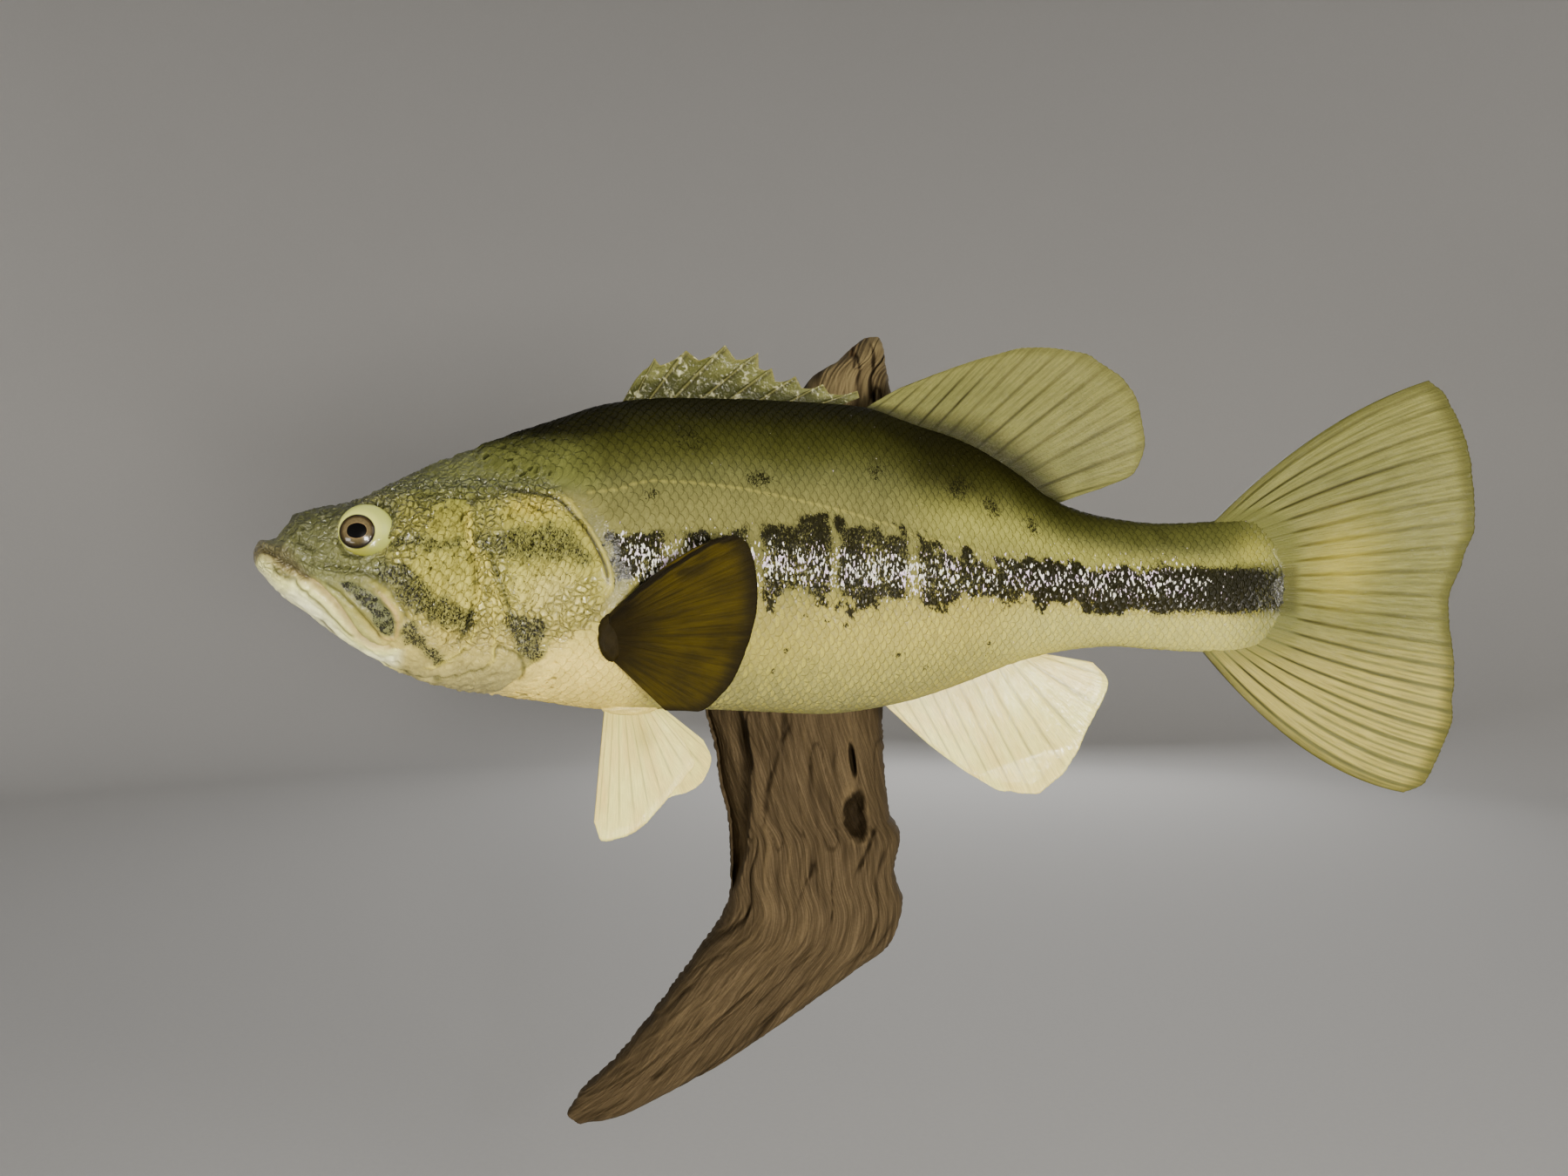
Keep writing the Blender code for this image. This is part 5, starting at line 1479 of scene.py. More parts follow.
def fin_finish(name, roughness, coat, grain_depth, crumple=0.0002, glints=0):
    """Painted fin under varnish, with fine bumps drawn out along the rays by the fin's own map, and pale
    specks painted as glints where glints is set.
    """
    material, tree, shader = start_material(name)
    own = add_node(tree, "UVMap", uv_map="fin").outputs[0]
    hairs = noise_over(own, 1, 3, 0.6, (190, 7, 1))
    fleck = add_noise(tree, 0.0014)
    lumps = add_noise(tree, 0.0035, 2)
    # pale specks painted into the colour as glints, as strong as glints
    painted_glints = remap(add_noise(tree, 0.0034, 2, 0.5, (1, 1, 1), 0.6), 0.58, 0.74, 0, glints)
    normal = add_bumps(((lumps, crumple), (hairs, grain_depth), (fleck, 0.6 * grain_depth)))
    feed(shader, {
        "Base Color": mix_colour(tree, painted_glints, flecked_paint(tree, hairs, 0.76, 1.16), (0.74, 0.72, 0.42)),
        "Roughness": remap(fleck, 0.3, 0.7, roughness - 0.08, roughness + 0.08),
        "Normal": normal, "Coat Normal": normal,
        "Coat Weight": coat, "Coat Roughness": 0.1, "Specular IOR Level": 0.08})
    return material


def tips_of(outline, count):
    return flow(outline, np.linspace(0, 1, count))


print("fins start", ROOT_SUNK, "of their reach inside the body")

# %% [markdown]
# ## The dorsal fins
# The front dorsal fin is a web stretched over nine spines, cut down behind each tip; the rear one has soft
# rays. Both stand on the ridge of the back, so their roots follow its height.

# %% Dorsal fins
SPINES = (
    (151, 156.8, 93.2, 160.5, 97.6), (155.5, 165.5, 103.4, 168, 100.2), (163, 180, 107.6, 186, 103.4),
    (174, 198, 111, 203, 104.4), (187, 213.5, 108.2, 213.8, 101.2), (200, 220, 101.4, 221.5, 95.2),
    (214, 231, 98, 234, 92.6), (228, 244, 94.8, 247, 90.4), (243, 260.5, 92, 261.5, 88.8),
)
SOFT_DORSAL = (
    (0, 281, 94), (0.14, 300, 101.5), (0.3, 325, 109.8), (0.42, 345, 114), (0.54, 364, 112),
    (0.67, 381, 103), (0.78, 393, 88), (0.87, 396.5, 70), (0.94, 392, 54.5), (1, 376, 46.8),
)
SOFT_DORSAL_ROOT = (264, 356)
SOFT_DORSAL_RAYS = 13
SPINY_COLUMNS = 409             # 48 to each spine
SOFT_COLUMNS = 20               # to each ray


def upright(along, up):
    return 0 * along


def spiny_paint(ray, share, ridge, up):
    """Olive yellow web, darker towards the root and in front of each spine."""
    tone = roughen((ray * 1.7, share * 3), 41)
    before = ray - np.floor(ray)
    return paint_over(
        shade(146, 139, 82),
        (0.4 + 0.6 * tone, (104, 99, 46)),
        (ease(share, 0.8, 0.25) * 0.85, (62, 60, 20)),
        (0.5 * ease(ridge, 0.2, 1), (168, 158, 108)),
        (0.75 * mound(before - 0.88, 0.05), (52, 46, 18)),
        (0.7 * mound(before - 0.11, 0.04), (60, 52, 22)),
        (0.5 * ease(share, 0.9, 1), (176, 166, 118)))


def soft_paint(ray, share, ridge, up, root_dark=0.9):
    """Yellow-green rays, dark lines in the grooves, an olive root and a browner margin."""
    tone = roughen((ray * 0.9, share * 4), 42)
    strong = 0.6 + 0.55 * soft_random((np.round(ray - 0.5) * 3.7, share * 2.5), 45)
    return paint_over(
        shade(166, 158, 104),
        (0.4 + 0.4 * tone, (150, 142, 88)),
        (0.5 * ease(share, 0.5, 0.9), (172, 164, 112)),
        (0.55 * ease(ridge, 0.4, -1), (112, 102, 56)),
        (strong * groove(ray, 0.075) * ease(share, 0.95, 0.4), (62, 54, 22)),
        (root_dark * ease(share, 0.3, 0.02), (54, 50, 22)),
        (0.55 * ease(share, 0.9, 1), (136, 124, 70)))


green_fin = fin_finish("green_fin", 0.55, 0.12, 0.0005)
knots = []
for k, (at, tip_along, tip_up, notch_along, notch_up) in enumerate(SPINES):
    following = SPINES[k + 1][0] if k + 1 < len(SPINES) else SOFT_DORSAL_ROOT[0] - 1.5
    knots += [(float(k), at, tip_along, tip_up), (k + 0.5, (at + following) / 2, notch_along, notch_up)]
knots = np.array(knots)
ray = np.linspace(0, len(SPINES) - 0.5, SPINY_COLUMNS)
nearest = np.floor(ray * 2 + 1e-9) / 2
sag = np.interp(ray, knots[:, 0], knots[:, 0]) - nearest
roots = np.interp(ray, knots[:, 0], knots[:, 1])
tip = np.stack([np.interp(ray, knots[:, 0], knots[:, k]) for k in (2, 3)], axis=-1)
tip[:, 1] -= 1.1 * np.sin(np.pi * np.clip(2 * sag, 0, 1)) * (np.floor(ray * 2) % 2 == 1)
root = np.stack([roots, body_top(roots) - 0.6], axis=-1)
# the spiny fin carries pale specks painted as glints
spiny_fin = fin_finish("spiny_fin", 0.5, 0.3, 0.0002, 0.0012, 0.6)
fin_sheet("spiny_dorsal_fin", "dorsal_fin_spiny", spiny_fin, root, tip, upright,
          len(SPINES) - 0.5, single_rays, spiny_paint, bow=0.5, rows=46, relief=0.5, ragged=0, web=0.35,
          seed=3)

across = SOFT_DORSAL_RAYS * SOFT_COLUMNS + 1
roots = np.linspace(*SOFT_DORSAL_ROOT, across)
root = np.stack([roots, body_top(roots) - 0.6], axis=-1)
fin_sheet("soft_dorsal_fin", "dorsal_fin_soft", green_fin, root, tips_of(SOFT_DORSAL, across),
          upright, SOFT_DORSAL_RAYS, forked_rays, soft_paint, bow=0.75, rows=64, seed=7)

# %% [markdown]
# ## The tail fin
# Its rays start round the end of the fleshy stalk, so the roots are spaced evenly along that edge and not
# along a straight line. Its outer rays bow outwards.

# %% Tail fin
TAIL_FIN = (
    (0, 524, 95.6), (0.05, 531.5, 89), (0.13, 537, 75), (0.24, 541.7, 53), (0.34, 543, 31),
    (0.42, 539.4, 14), (0.52, 532.8, -8), (0.64, 533.5, -33), (0.77, 533, -58), (0.88, 528, -77),
    (0.96, 521, -91), (1, 513, -94.4),
)
TAIL_FIN_ROOT = (429, 424)
TAIL_FIN_RAYS = 19
TAIL_FIN_BOW = ((0, 34), (0.25, 6), (0.5, 0), (0.75, -10), (1, -48))
TAIL_FIN_CUP = 5


def stalk_edge(count):
    """Points spaced evenly round the end of the tail stalk."""
    upper = np.linspace(TAIL_FIN_ROOT[0], BODY_LENGTH, 60)
    lower = np.linspace(BODY_LENGTH, TAIL_FIN_ROOT[1], 60)
    route = np.concatenate([
        np.stack([upper, body_top(upper)], axis=-1), np.stack([lower, body_bottom(lower)], axis=-1)])
    length = run_of(route)
    wanted = np.linspace(0, length[-1], count)
    return np.stack([np.interp(wanted, length, route[:, k]) for k in (0, 1)], axis=-1)


def tail_side(along, up):
    back = np.clip((along - BODY_LENGTH) / (FISH_LENGTH - BODY_LENGTH), 0, 1)
    return TAIL_FIN_CUP * back * np.sin(up / 95 * np.pi) ** 2


def tail_paint(ray, share, ridge, up):
    """As the soft dorsal fin, with a darker root and a dark olive margin."""
    band = ease(np.abs(up + 1), 13, 9) * ease(share, 0.07, 0)
    outer = ease(np.abs(ray / TAIL_FIN_RAYS - 0.5), 0.46, 0.5)
    return paint_over(
        soft_paint(ray, share, ridge, up, 0),
        (0.75 * groove(ray, 0.08) * ease(share, 0.5, 0.08), (62, 56, 20)),
        (0.85 * ease(share, 0.1, 0), (140, 133, 72)),
        (0.6 * band, (76, 70, 34)),
        (0.5 * mound(ray - 8, 2.5) * mound(share - 0.3, 0.2), (196, 186, 96)),
        (0.4 * ease(up, -12, -50) * ease(ridge, -0.6, 0.4), (206, 196, 146)),
        (0.8 * np.maximum(ease(share, 0.9, 1), outer), (112, 102, 50)))


across = TAIL_FIN_RAYS * SOFT_COLUMNS + 1
root = stalk_edge(across)
bow = flow(TAIL_FIN_BOW, np.linspace(0, 1, across))[:, 0]
fin_sheet("tail_fin_web", "tail_fin", green_fin, root, tips_of(TAIL_FIN, across), tail_side,
          TAIL_FIN_RAYS, forked_rays, tail_paint, bow=bow, rows=90, relief=0.85, ragged=0.006, fleshy=0.95,
          sunk=0.12, seed=9)

# %% [markdown]
# ## The anal fin and the paired fins
# The anal fin hangs from the belly and leans a little. The pectoral fins stand out from behind the gill
# covers on a fleshy root, the pelvic fins hang below them, and each pair differs from side to side.

# %% Lower fins
ANAL_FIN = (
    (0, 286, -66), (0.12, 297, -75.5), (0.28, 314, -87.5), (0.42, 330, -95.5), (0.55, 343, -96.5),
    (0.68, 356, -88), (0.82, 369, -66), (0.94, 379, -44), (1, 372, -35),
)
ANAL_FIN_ROOT = (274, 350)
ANAL_FIN_RAYS = 12
ANAL_FIN_LEAN = 5
LOW_COLUMNS = 16                # to each ray of the anal and pelvic fins
PECTORAL_COLUMNS = 14
PECTORAL_ROOT = (136.5, -19)
PECTORAL_SPREAD = 11.5
PECTORAL_AHEAD = 2.5
PECTORAL_BOW = 12
PECTORAL_RAYS = 14
PECTORAL_FAN = (
    (0, 175, 19), (0.08, 183, 20.8), (0.18, 189.5, 17.6), (0.28, 192.6, 9), (0.42, 193.6, -5),
    (0.56, 191.5, -20), (0.7, 187, -34), (0.8, 181, -43), (0.9, 171, -50), (1, 159, -50),
)
PECTORAL_OUT = 32.3
PECTORAL_OUT_WALL = 50
PECTORAL_WALL_REACH = 0.7
PELVIC_ROOT = (10, -53)
PELVIC_LEVEL = -52.6
PELVIC_SPLAY = 0.26
PELVIC_RAYS = 9
PELVIC_LEFT = (
    (0, 134, -99), (0.12, 137, -107.5), (0.25, 143, -107.3), (0.45, 156, -101.8), (0.62, 166, -93),
    (0.8, 176, -83), (0.92, 180.6, -77), (1, 177, -69),
)
PELVIC_LEFT_ROOT = (141, 163.5)
PELVIC_RIGHT = (
    (0, 147, -98), (0.14, 153, -103.5), (0.3, 163, -103), (0.5, 177, -98.5), (0.66, 187, -95.5),
    (0.8, 193, -89), (0.9, 195.3, -81), (1, 191, -71),
)
PELVIC_RIGHT_ROOT = (145, 168.5)


def white_paint(ray, share, ridge, up):
    """Cream white with grey grooves, yellower near the root."""
    tone = roughen((ray * 1.1, share * 3), 43)
    return paint_over(
        shade(219, 210, 186),
        (0.4 + 0.4 * tone, (213, 203, 174)),
        (0.5 * groove(ray, 0.06) * ease(share, 1, 0.7), (134, 124, 92)),
        (0.16 * ease(ridge, 0, -1), (160, 150, 116)),
        (0.4 * ease(share, 0.35, 0), (200, 190, 140)))


def pelvic_paint(ray, share, ridge, up):
    patch = mound(np.hypot((share - 0.3) / 0.16, (ray / PELVIC_RAYS - 0.6) / 0.14), 1)
    return paint_over(white_paint(ray, share, 0.4 * ridge, up), (0.55 * patch, (192, 180, 112)))


def dark_paint(ray, share, ridge, up):
    """Olive brown, nearly black near the root and along the mottled leading edge."""
    tone = roughen((ray * 1.4, share * 5), 44)
    hairs = ease(soft_random((ray * 9, share * 3), 46), 0.1, 0.8)
    leading = ease(ray / PECTORAL_RAYS, 0.26, 0.04)
    return paint_over(
        shade(96, 74, 8),
        (0.5 + 0.6 * tone, (72, 56, 5)),
        (0.9 * ease(share, 0.45, 0.02), (42, 31, 10)),
        (0.35 * ease(ridge, 0.2, -1), (44, 34, 4)),
        (0.5 * hairs, (46, 36, 4)),
        (0.9 * leading * ease(tone, -0.4, 0.2), (28, 22, 8)),
        (0.8 * ease(share, 0.84, 0.98), (36, 28, 5)))


def anal_side(along, up):
    hang = np.clip((body_bottom(along) - up) / 45, 0, 1)
    return ANAL_FIN_LEAN * hang**2


white_fin = fin_finish("white_fin", 0.4, 0.5, 0.00018)
dark_fin = fin_finish("dark_fin", 0.6, 0.03, 0.0003)
across = ANAL_FIN_RAYS * LOW_COLUMNS + 1
roots = np.linspace(*ANAL_FIN_ROOT, across)
root = np.stack([roots, body_bottom(roots) + 0.6], axis=-1)
fin_sheet("anal_fin_web", "anal_fin", white_fin, root, tips_of(ANAL_FIN, across), anal_side,
          ANAL_FIN_RAYS, forked_rays, white_paint, rows=60, seed=13)


def pectoral(name, hand, node):
    """A fan of rays from a short upright root, standing out from the body by a set angle."""
    along, up = PECTORAL_ROOT
    side = float(body_side(along, up))
    low, high = up - PECTORAL_SPREAD, up + PECTORAL_SPREAD
    flare = float(body_side(along, high) - body_side(along, low)) / (high - low)
    out = math.radians(PECTORAL_OUT if hand > 0 else PECTORAL_OUT_WALL)
    reach = 1 if hand > 0 else PECTORAL_WALL_REACH
    across = PECTORAL_RAYS * PECTORAL_COLUMNS + 1
    tips = tips_of(PECTORAL_FAN, across)
    tips[:, 0] = along + (tips[:, 0] - along) * reach
    fan = np.linspace(1, -1, across)
    ahead = PECTORAL_AHEAD * reach * np.sqrt(1 - (0.8 * fan) ** 2)
    root = np.stack([along + ahead, up + PECTORAL_SPREAD * fan * 0.9], axis=-1)

    def side_of(at_along, at_up):
        lean = flare * PECTORAL_SPREAD * np.tanh((at_up - up) / PECTORAL_SPREAD)
        curl = 1.6 * ease(at_along, 150, 200) if hand > 0 else 0
        return hand * (side + lean + (at_along - along) * math.tan(out) - curl)

    fin_sheet(name, node, dark_fin, root, tips, side_of, PECTORAL_RAYS, forked_rays, dark_paint,
              bow=PECTORAL_BOW * np.clip(fan, 0, 1), rows=64, relief=0.3, ragged=0.004, seed=17)


def pelvic(name, hand, node):
    """A fan of rays hanging from the belly and splayed outwards."""
    side, up = PELVIC_ROOT
    across = PELVIC_RAYS * LOW_COLUMNS + 1
    tips = tips_of(PELVIC_LEFT if hand > 0 else PELVIC_RIGHT, across)
    roots = np.linspace(*(PELVIC_LEFT_ROOT if hand > 0 else PELVIC_RIGHT_ROOT), across)
    root = np.stack([roots, np.full_like(roots, PELVIC_LEVEL)], axis=-1)

    def side_of(at_along, at_up):
        return hand * (side + PELVIC_SPLAY * (up - at_up))

    fin_sheet(name, node, white_fin, root, tips, side_of, PELVIC_RAYS, forked_rays,
              pelvic_paint, rows=56, relief=0.22, ragged=0.008, seed=19)


def fleshy_root(name, material, paint, centre, half, seed):
    """A wrinkled egg where a paired fin leaves the body: centre and half sizes along, side and up."""
    turn = np.linspace(0, 2 * np.pi, 56, endpoint=False)[None, :]
    rise = np.linspace(0, np.pi, 42)[1:-1, None]
    toward = spots_of((np.cos(turn) * np.sin(rise), np.sin(turn) * np.sin(rise), np.cos(rise)))
    folds = roughen(toward * np.array([2.2, 2.2, 4.5]) + seed, seed)
    spots = np.array(centre) + np.array(half) * toward * (1 + 0.05 * folds)[..., None]
    ends = np.array([[centre[0], centre[1], centre[2] + k * half[2]] for k in (1, -1)])
    points = closed_points(place(*np.moveaxis(spots, -1, 0)), *place(*ends.T))
    piece = new_piece(name, points, closed_faces(*folds.shape), material)
    # lighter where the folds bulge and darker in their hollows: painted highlight and painted shade
    colour = paint * (1 + 0.25 * folds)[..., None]
    mark(piece, "paint", np.clip(closed_points(colour, colour[0, 0], colour[-1, 0]), 0, 1))
    lay_out(piece, "fin", closed_points(np.broadcast_to(turn, folds.shape), 0, 0) / 9,
            closed_points(np.broadcast_to(rise, folds.shape), 0, np.pi) / 3)


for hand, tail in SIDES:
    pectoral("pectoral_fin_web_" + tail, hand, "pectoral_fin_" + tail)
    pelvic("pelvic_fin_web_" + tail, hand, "pelvic_fin_" + tail)
    along, up = PECTORAL_ROOT
    side = hand * (float(body_side(along, up)) - 0.6)
    fleshy_root("pectoral_root_" + tail, dark_fin, shade(50, 38, 14), (along + 1.2, side, up),
                (5.8, 3.2, 11.2), 5)
    low_side, low_up = PELVIC_ROOT
    middle = sum(PELVIC_LEFT_ROOT if hand > 0 else PELVIC_RIGHT_ROOT) / 2
    fleshy_root("pelvic_root_" + tail, white_fin, shade(206, 196, 158),
                (middle, hand * low_side, low_up + 0.6), (12.5, 4, 3.6), 6)

# %% [markdown]
# ## Driftwood
# Driftwood is weathered into long ridges and furrows that follow the old grain. Its sections run across the
# branch, so a column of the grid already follows the grain, and ridges are noise drawn out along the
# columns. Deep cracks are where a slow wave of noise passes through zero.

# %% Driftwood
# left edge (x, z), right edge (x, z), depth of the front and of the back
DRIFTWOOD = (
    (40.5, 130.5, 50.5, 131, 30, 16), (33.5, 125, 52.5, 125.5, 39, 9), (27, 118, 53.5, 117, 45, 5),
    (12, 108, 55.5, 106.5, 50, 3), (0, 82, 58.5, 80, 55, 1.5), (-11, 50, 59, 50, 58, 0),
    (-20, 20, 58, 20, 60, 0), (-25, -15, 56, -15, 62, 0), (-33, -42, 54, -42, 63, 0),
    (-41.5, -63, 52, -63, 62, 1.5), (-37, -82, 52.5, -82, 60, 3), (-34.5, -100, 53.5, -101, 59, 4),
    (-31, -114, 55.5, -117, 58, 4), (-29, -128, 61, -129, 58, 4), (-28.5, -145, 58, -147, 57, 3),
    (-29, -161, 62.5, -163, 56, 3), (-33, -172, 57, -183, 54, 4), (-43, -187, 37, -199.5, 50, 5),
    (-59.6, -210, 3, -224.5, 46, 6), (-75, -231, -29, -247, 41, 7), (-90, -249, -59, -264.5, 36, 8),
    (-107.5, -266, -88, -279, 30, 9), (-115, -277.5, -106, -283.5, 24, 12),
)
WOOD_FULLNESS = 3
WOOD_SIDE_DEPTH = 0.3
WOOD_BACK_EDGE = 0.12
WOOD_LEDGE_DEPTH = 17
# height, share of the ledge's depth, x of its edge
WOOD_LEDGE = (
    (-160, 0, -27.5), (-142, 0.9, -21.3), (-96, 1, -16.9), (-73, 0.9, -19.1), (-50, 0, -24),
)
# pits: middle x and z, half width, half height, depth
WOOD_PITS = ((34.3, -86.4, 1.5, 7, 7), (35.4, -115, 4.6, 9.5, 9), (37.5, -107, 3.2, 6, 4))
# long grooves through (x, z), with width and depth
WOOD_GROOVES = (
    (((2.2, -62), (-2.5, -78), (-6.5, -92.8), (-10.4, -108), (-13.4, -128)), 1, 3),
    (((48, -116), (42, -130), (33.3, -148)), 0.9, 2.6),
    (((14, -60), (13, -90), (16, -122), (10, -150), (-4, -176)), 0.7, 1.6),
    (((26, -66), (24.5, -96), (27.5, -134)), 0.6, 1.3),
    (((-24, -176), (-46, -203), (-80, -238)), 0.9, 1.8),
    (((20, -168), (-10, -198), (-48, -234)), 0.8, 1.5),
    (((44, 128), (45.5, 118), (44.5, 106)), 0.8, 2),
    (((36, 124), (37.5, 112), (36, 98)), 0.7, 1.6),
)
WOOD_RINGS = 430
WOOD_ACROSS = 197
WOOD_BEHIND = 34


def wall_side(x, z):
    """How far out from the wall the fish's far side is over a place on the wall, in millimetres."""
    levels = np.linspace(-59, 86, 146)
    along = np.linspace(60, 420, 361)
    limit = np.full(x.shape, np.inf)
    row = np.clip(np.round(z - levels[0]).astype(int), 0, len(levels) - 1)
    inside = (z > levels[0]) & (z < levels[-1])
    for k, level in enumerate(levels):
        chosen = inside & (row == k)
        if chosen.any():
            across = body_side(along, np.full_like(along, level))
            real = (level < body_top(along) - 0.5) & (level > body_bottom(along) + 0.5)
            spots = place(along[real], -across[real], level) / MM
            limit[chosen] = -np.interp(x[chosen], spots[:, 0], spots[:, 1])
    return limit


def wood_points():
    """Rings across the wood: a full carved front and a flatter back, with the depth of each point.

    The front is a superellipse over the width, raised by ridges of drawn-out noise and sunk by
    cracks, by the split ledge on the left and by pits.
    """
    rows = np.array(DRIFTWOOD)
    steps = np.arange(len(rows), dtype=float)
    fine = np.linspace(0, steps[-1], WOOD_RINGS)
    left_x, left_z, right_x, right_z, front, back = flow(np.column_stack([steps, rows]), fine).T[:, :, None]
    across = (1 - np.cos(np.linspace(0, np.pi, WOOD_ACROSS)))[None, :] / 2
    middle_x, middle_z = (left_x + right_x) / 2, (left_z + right_z) / 2
    run = np.hypot(np.gradient(middle_x, axis=0), np.gradient(middle_z, axis=0)).cumsum(axis=0)
    width = np.hypot(right_x - left_x, right_z - left_z)
    over = (across - 0.5) * width
    drift = 2.4 * roughen((over / 60, run / 90), 71, 2)
    drift = drift + 0.8 * roughen((over / 9, run / 28), 72)
    grain = over + drift
    ridges = roughen((grain / 4.6, run / 70), 73) * 0.75
    small = 0.6 - 1.3 * np.abs(roughen((grain / 2, run / 24), 74, 2))
    slow = soft_random((grain / 13, run / 110), 75)
    cracks = mound(slow, 0.035) * ease(roughen((over / 40, run / 50), 76, 1), -0.5, 0.3)
    second = mound(soft_random((grain / 7, run / 60), 79) - 0.2, 0.035)
    full = (1 - np.abs(2 * across - 1) ** WOOD_FULLNESS) ** (1 / WOOD_FULLNESS)
    carve = (ridges + small - 2.6 * cracks - 1.4 * second) * np.clip(full * 1.15, 0, 1) - 0.6
    fray = 0.9 * np.abs(roughen((run / 3, 0), 83)) * (2 * across - 1) ** 15
    x = left_x + (right_x - left_x) * across - fray
    z = left_z + (right_z - left_z) * across + 0.5 * fray * ease(run, 300, 330)
    ledge, slab = np.moveaxis(flow(WOOD_LEDGE, z), -1, 0)
    wander = 0.9 * roughen((run / 9, 0), 77)
    step = WOOD_LEDGE_DEPTH * ledge * ease(x + wander, slab + 1, slab - 1.2)
    for places, wide, deep in WOOD_GROOVES:
        bent = x + 0.7 * drift + 1.1 * roughen((x / 14, z / 11), 85, 2)
        gap, reached, side = line_gap(bent, z, flow(
            np.column_stack([np.arange(len(places)), places]), np.linspace(0, len(places) - 1, 24)))
        uneven = 0.7 + 0.5 * soft_random((run / 9, over / 30), 86)
        carve = carve - deep * uneven * mound(gap, wide) * ease(reached, 0, 0.3) * ease(reached, 1, 0.7)
    pits = np.zeros(x.shape)
    for at_x, at_z, half_x, half_z, deep in WOOD_PITS:
        tilt = (x - at_x) + 0.12 * (z - at_z)
        gap = np.hypot(tilt / half_x, (z - at_z) / half_z) + 0.16 * roughen((x / 3, z / 5), 84)
        pits += deep * np.exp(-gap**4) - 0.12 * deep * mound(gap - 1.45, 0.3)
    side = back + WOOD_SIDE_DEPTH * (front - back)
    face = side + (front - side) * full + carve - np.where(full > 0.45, step + pits, 0)
    broken = ease(z, 112, 131) * ease(x, 46, 30)
    face = face - 7 * broken * (1 + 0.3 * soft_random((x / 2, z / 2), 78))
    face = np.maximum(face, back + 3)
    face = np.minimum(face, wall_side(x, z) - 0.5)
    behind = np.linspace(1 - WOOD_BACK_EDGE, WOOD_BACK_EDGE, WOOD_BEHIND)[None, :]
    back_x = left_x + (right_x - left_x) * behind
    back_z = left_z + (right_z - left_z) * behind
    back_over = (behind - 0.5) * width
    furrow = 0.5 * np.abs(roughen((back_over / 4, run / 90), 81))
    patch = ease(np.hypot(back_x / 24, back_z / 34), 1, 1.25)
    rear = back + 0.15 + furrow * patch
    depth = np.concatenate([face, rear], axis=1)
    x, z = np.concatenate([x, back_x], axis=1), np.concatenate([z, back_z], axis=1)
    points = spots_of((x, -depth, z)) * MM
    # the relief kept for the paint: its low places are darkened as painted shade
    low = np.concatenate([carve - 0.5 * step / WOOD_LEDGE_DEPTH - pits, -furrow], axis=1)
    lines = np.concatenate([grain - 0.22 * run, back_over + 0 * run], axis=1)
    length = np.concatenate([run + 0 * over, run + 0 * back_over], axis=1)
    return points, low, lines, length


def wood_finish():
    """Weathered wood: grey-brown with drawn-out streaks, paler worn ridges, and painted shade darkening its
    furrows, cracks, pits and split ledge.
    """
    material, tree, shader = start_material("weathered_wood")
    own = add_node(tree, "UVMap", uv_map="grain").outputs[0]
    thin = noise_over(own, 1, 4, 0.62, (1500, 24, 1), 0.4)
    wide = noise_over(own, 1, 4, 0.62, (460, 11, 1), 0.4)
    fleck = add_noise(tree, 0.0012, 4, 0.65)
    low = read_mark(tree, "low")
    colour = shade(104, 79, 63)
    for share, paint in (
        (remap(wide, 0.34, 0.66, 0, 1), (150, 121, 99)),
        (remap(thin, 0.4, 0.62, 0, 0.6), (70, 53, 39)),
        (remap(low, -0.2, 1.4, 0, 0.55), (166, 140, 112)),
        # painted shade: the deepest furrows, cracks, pits and the split ledge darkened
        (remap(low, -0.6, -3, 0, 0.85), (36, 25, 15)),
        (read_mark(tree, "fresh"), (140, 88, 48)),
        (remap(fleck, 0.35, 0.7, 0, 0.35), (84, 63, 46)),
        (read_mark(tree, "bleached"), (176, 158, 130)),
    ):
        colour = mix_colour(tree, share, colour, shade(*paint))
    feed(shader, {
        "Base Color": colour, "Roughness": remap(thin, 0.3, 0.7, 0.62, 0.86),
        "Normal": add_bumps(((wide, 0.0009), (thin, 0.0005), (fleck, 0.0002))),
        "Specular IOR Level": 0.1})
    return material


wood_shape, wood_low, wood_lines, wood_length = wood_points()
wood = new_piece(
    "driftwood_branch", closed_points(wood_shape, wood_shape[0].mean(axis=0), wood_shape[-1].mean(axis=0)),
    closed_faces(*wood_low.shape), wood_finish(), ("driftwood",))
x, z = wood_shape[..., 0] / MM, wood_shape[..., 2] / MM
fresh = ease(z, 112, 120) * ease(x, 48, 40) * ease(roughen((x / 5, z / 9), 82), -0.5, 0.2)
bleached = 0.75 * ease(z, 66, 108) * ease(wood_low, -1.6, 0.2)
for label, values in (("low", wood_low), ("fresh", 0.75 * fresh), ("bleached", bleached)):
    mark(wood, label, closed_points(values, 0, 0))
lay_out(wood, "grain", closed_points(wood_lines * MM, 0, 0), closed_points(wood_length * MM, 0, 0.4))

# %% [markdown]
# ## Floor, backdrop and light
# The mount is shown in a plain, pale studio. Its back is looked at too, so the wall is far away on every
# side: a round floor turns up into it. Large soft lights give the form, and two small ones near the viewer
# put sharp points of light on the varnish.

# %% Studio
FLOOR = -0.36
STUDIO = 2.6                    # radius of the round floor
COVE = 0.7                      # radius of the curve from floor to wall


def studio_points():
    """A profile turned about the vertical: flat floor, a quarter circle, then an upright wall."""
    bend = np.linspace(0, np.pi / 2, 24)
    radius = np.concatenate([[0, 0.5, 1, 1.5], STUDIO - COVE + COVE * np.sin(bend), [STUDIO]])
    height = np.concatenate([np.zeros(4), COVE - COVE * np.cos(bend), [2.6]]) + FLOOR
    turn = np.linspace(0, 2 * np.pi, 120, endpoint=False)
    return spots_of((radius[:, None] * np.cos(turn), radius[:, None] * np.sin(turn), height[:, None]))


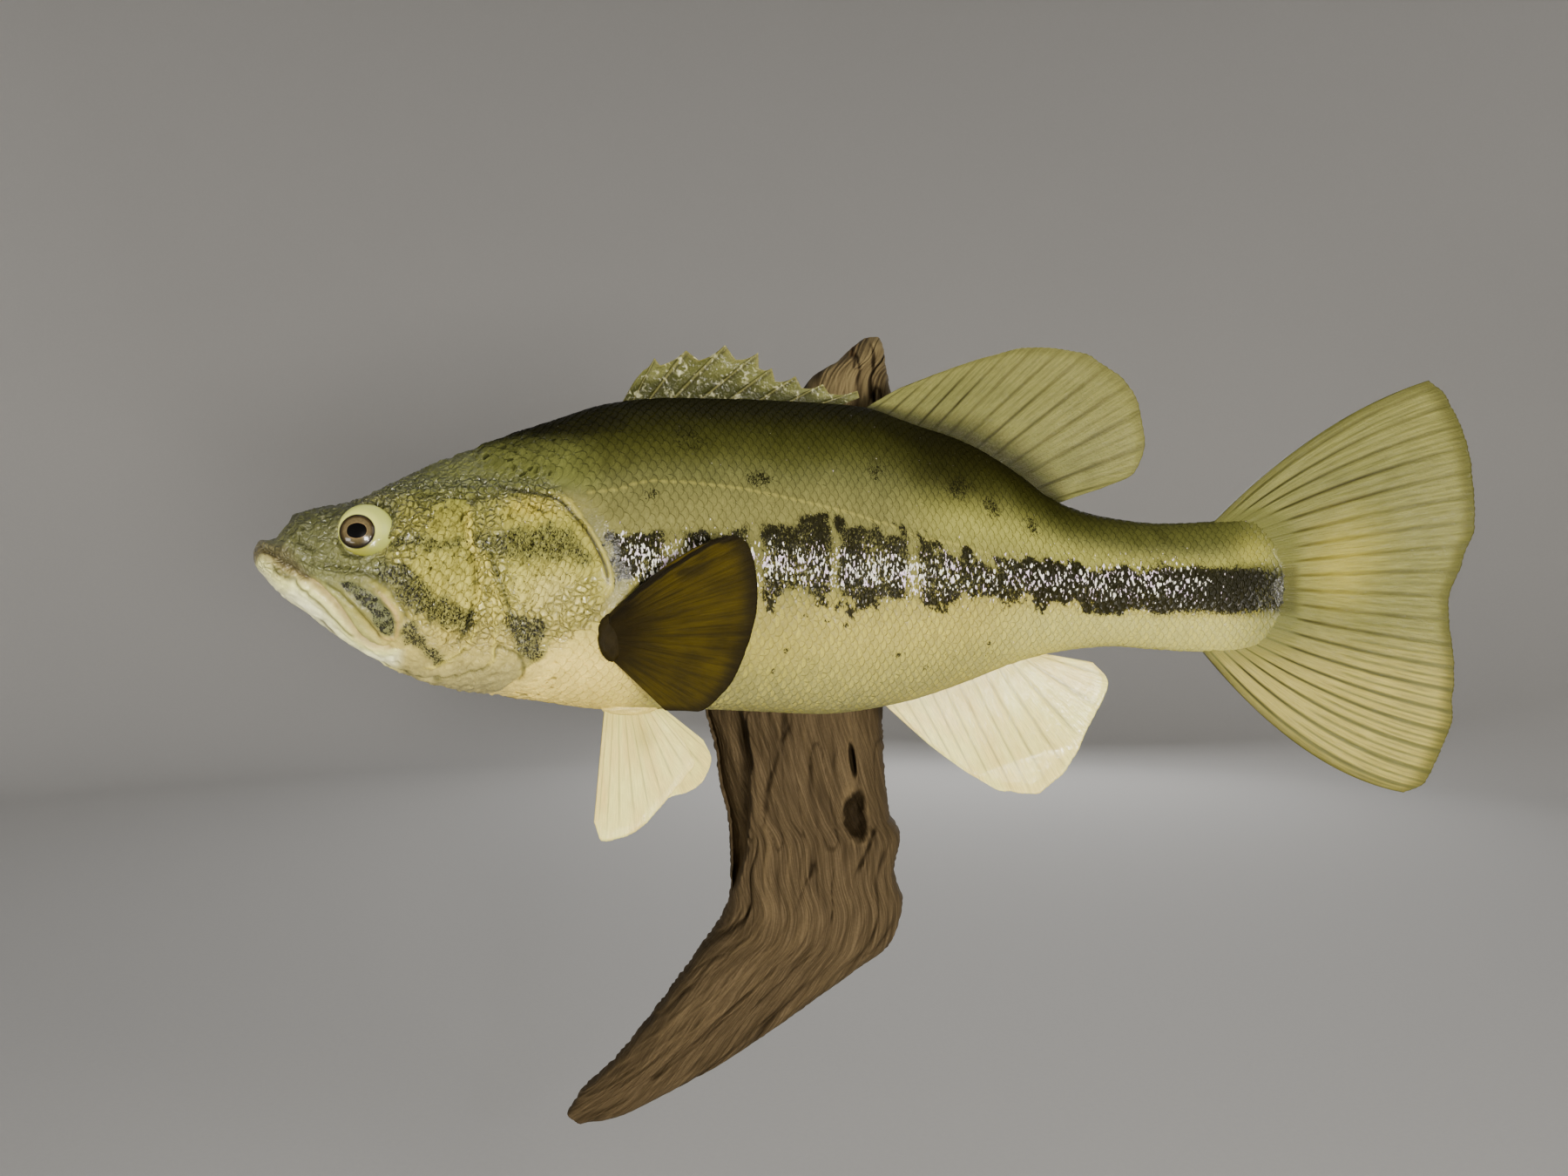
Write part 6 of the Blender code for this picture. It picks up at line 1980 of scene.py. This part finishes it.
def pale_paper():
    material, tree, shader = start_material("pale_paper")
    colour = mix_colour(tree, add_noise(tree, 0.004, 4), (0.56, 0.55, 0.53), (0.6, 0.59, 0.57))
    feed(shader, {"Base Color": colour, "Roughness": 0.9, "Specular IOR Level": 0.1})
    return material


studio_grid = studio_points()
studio = new_object(
    "studio", studio_grid.reshape(-1, 3), [grid_faces(*studio_grid.shape[:2], wrap=True)], pale_paper())
studio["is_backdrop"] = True


def soft_light(name, at, aim, size, power, colour=(1, 1, 1)):
    """A square area light at a place, facing another."""
    data = bpy.data.lights.new(name, "AREA")
    data.size = size
    data.energy = power
    data.color = colour
    light = bpy.data.objects.new(name, data)
    direction = Matrix.Translation(at).translation - Matrix.Translation(aim).translation
    light.location = at
    light.rotation_euler = direction.to_track_quat("Z", "Y").to_euler()
    bpy.context.scene.collection.objects.link(light)


WARM = (1, 0.95, 0.88)
soft_light("key", (0.42, -1.5, -0.12), (0, -0.1, -0.02), 0.26, 27, WARM)
soft_light("fill_left", (-1, -1.2, -0.4), (-0.05, -0.1, 0), 0.5, 17, WARM)
soft_light("fill_right", (1.3, -1.2, 0.7), (0.1, -0.1, 0), 0.8, 6, WARM)
soft_light("low_left", (-0.55, -1, -0.45), (-0.2, -0.15, 0), 0.3, 5.5, WARM)
soft_light("top", (-0.1, 0.1, 1.9), (0, -0.1, 0), 1.2, 5)
soft_light("rear", (0.4, 1.8, 0.5), (0, 0, 0), 1.2, 11)
soft_light("glint_right", (0.26, -0.74, 0.02), (0.1, -0.1, 0), 0.03, 0.5)
soft_light("glint_low", (0.14, -0.72, -0.12), (0, -0.1, 0), 0.03, 0.4)
world = bpy.data.worlds.new("studio_air")
world.use_nodes = True
world.node_tree.nodes["Background"].inputs["Color"].default_value = (0.82, 0.84, 0.88, 1)
world.node_tree.nodes["Background"].inputs["Strength"].default_value = 0.16
bpy.context.scene.world = world
print("studio radius", STUDIO, "m, floor at", FLOOR)

# %% [markdown]
# ## Sizes, and the end
# The dressed model has to keep the solid's size, so both boxes are written down side by side.

# %% Write down the size and finish
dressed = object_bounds()
for label, box in (("size:", dressed), ("solid:", cad_box)):
    print(label, [round(b - a, 4) for a, b in zip(*box)])
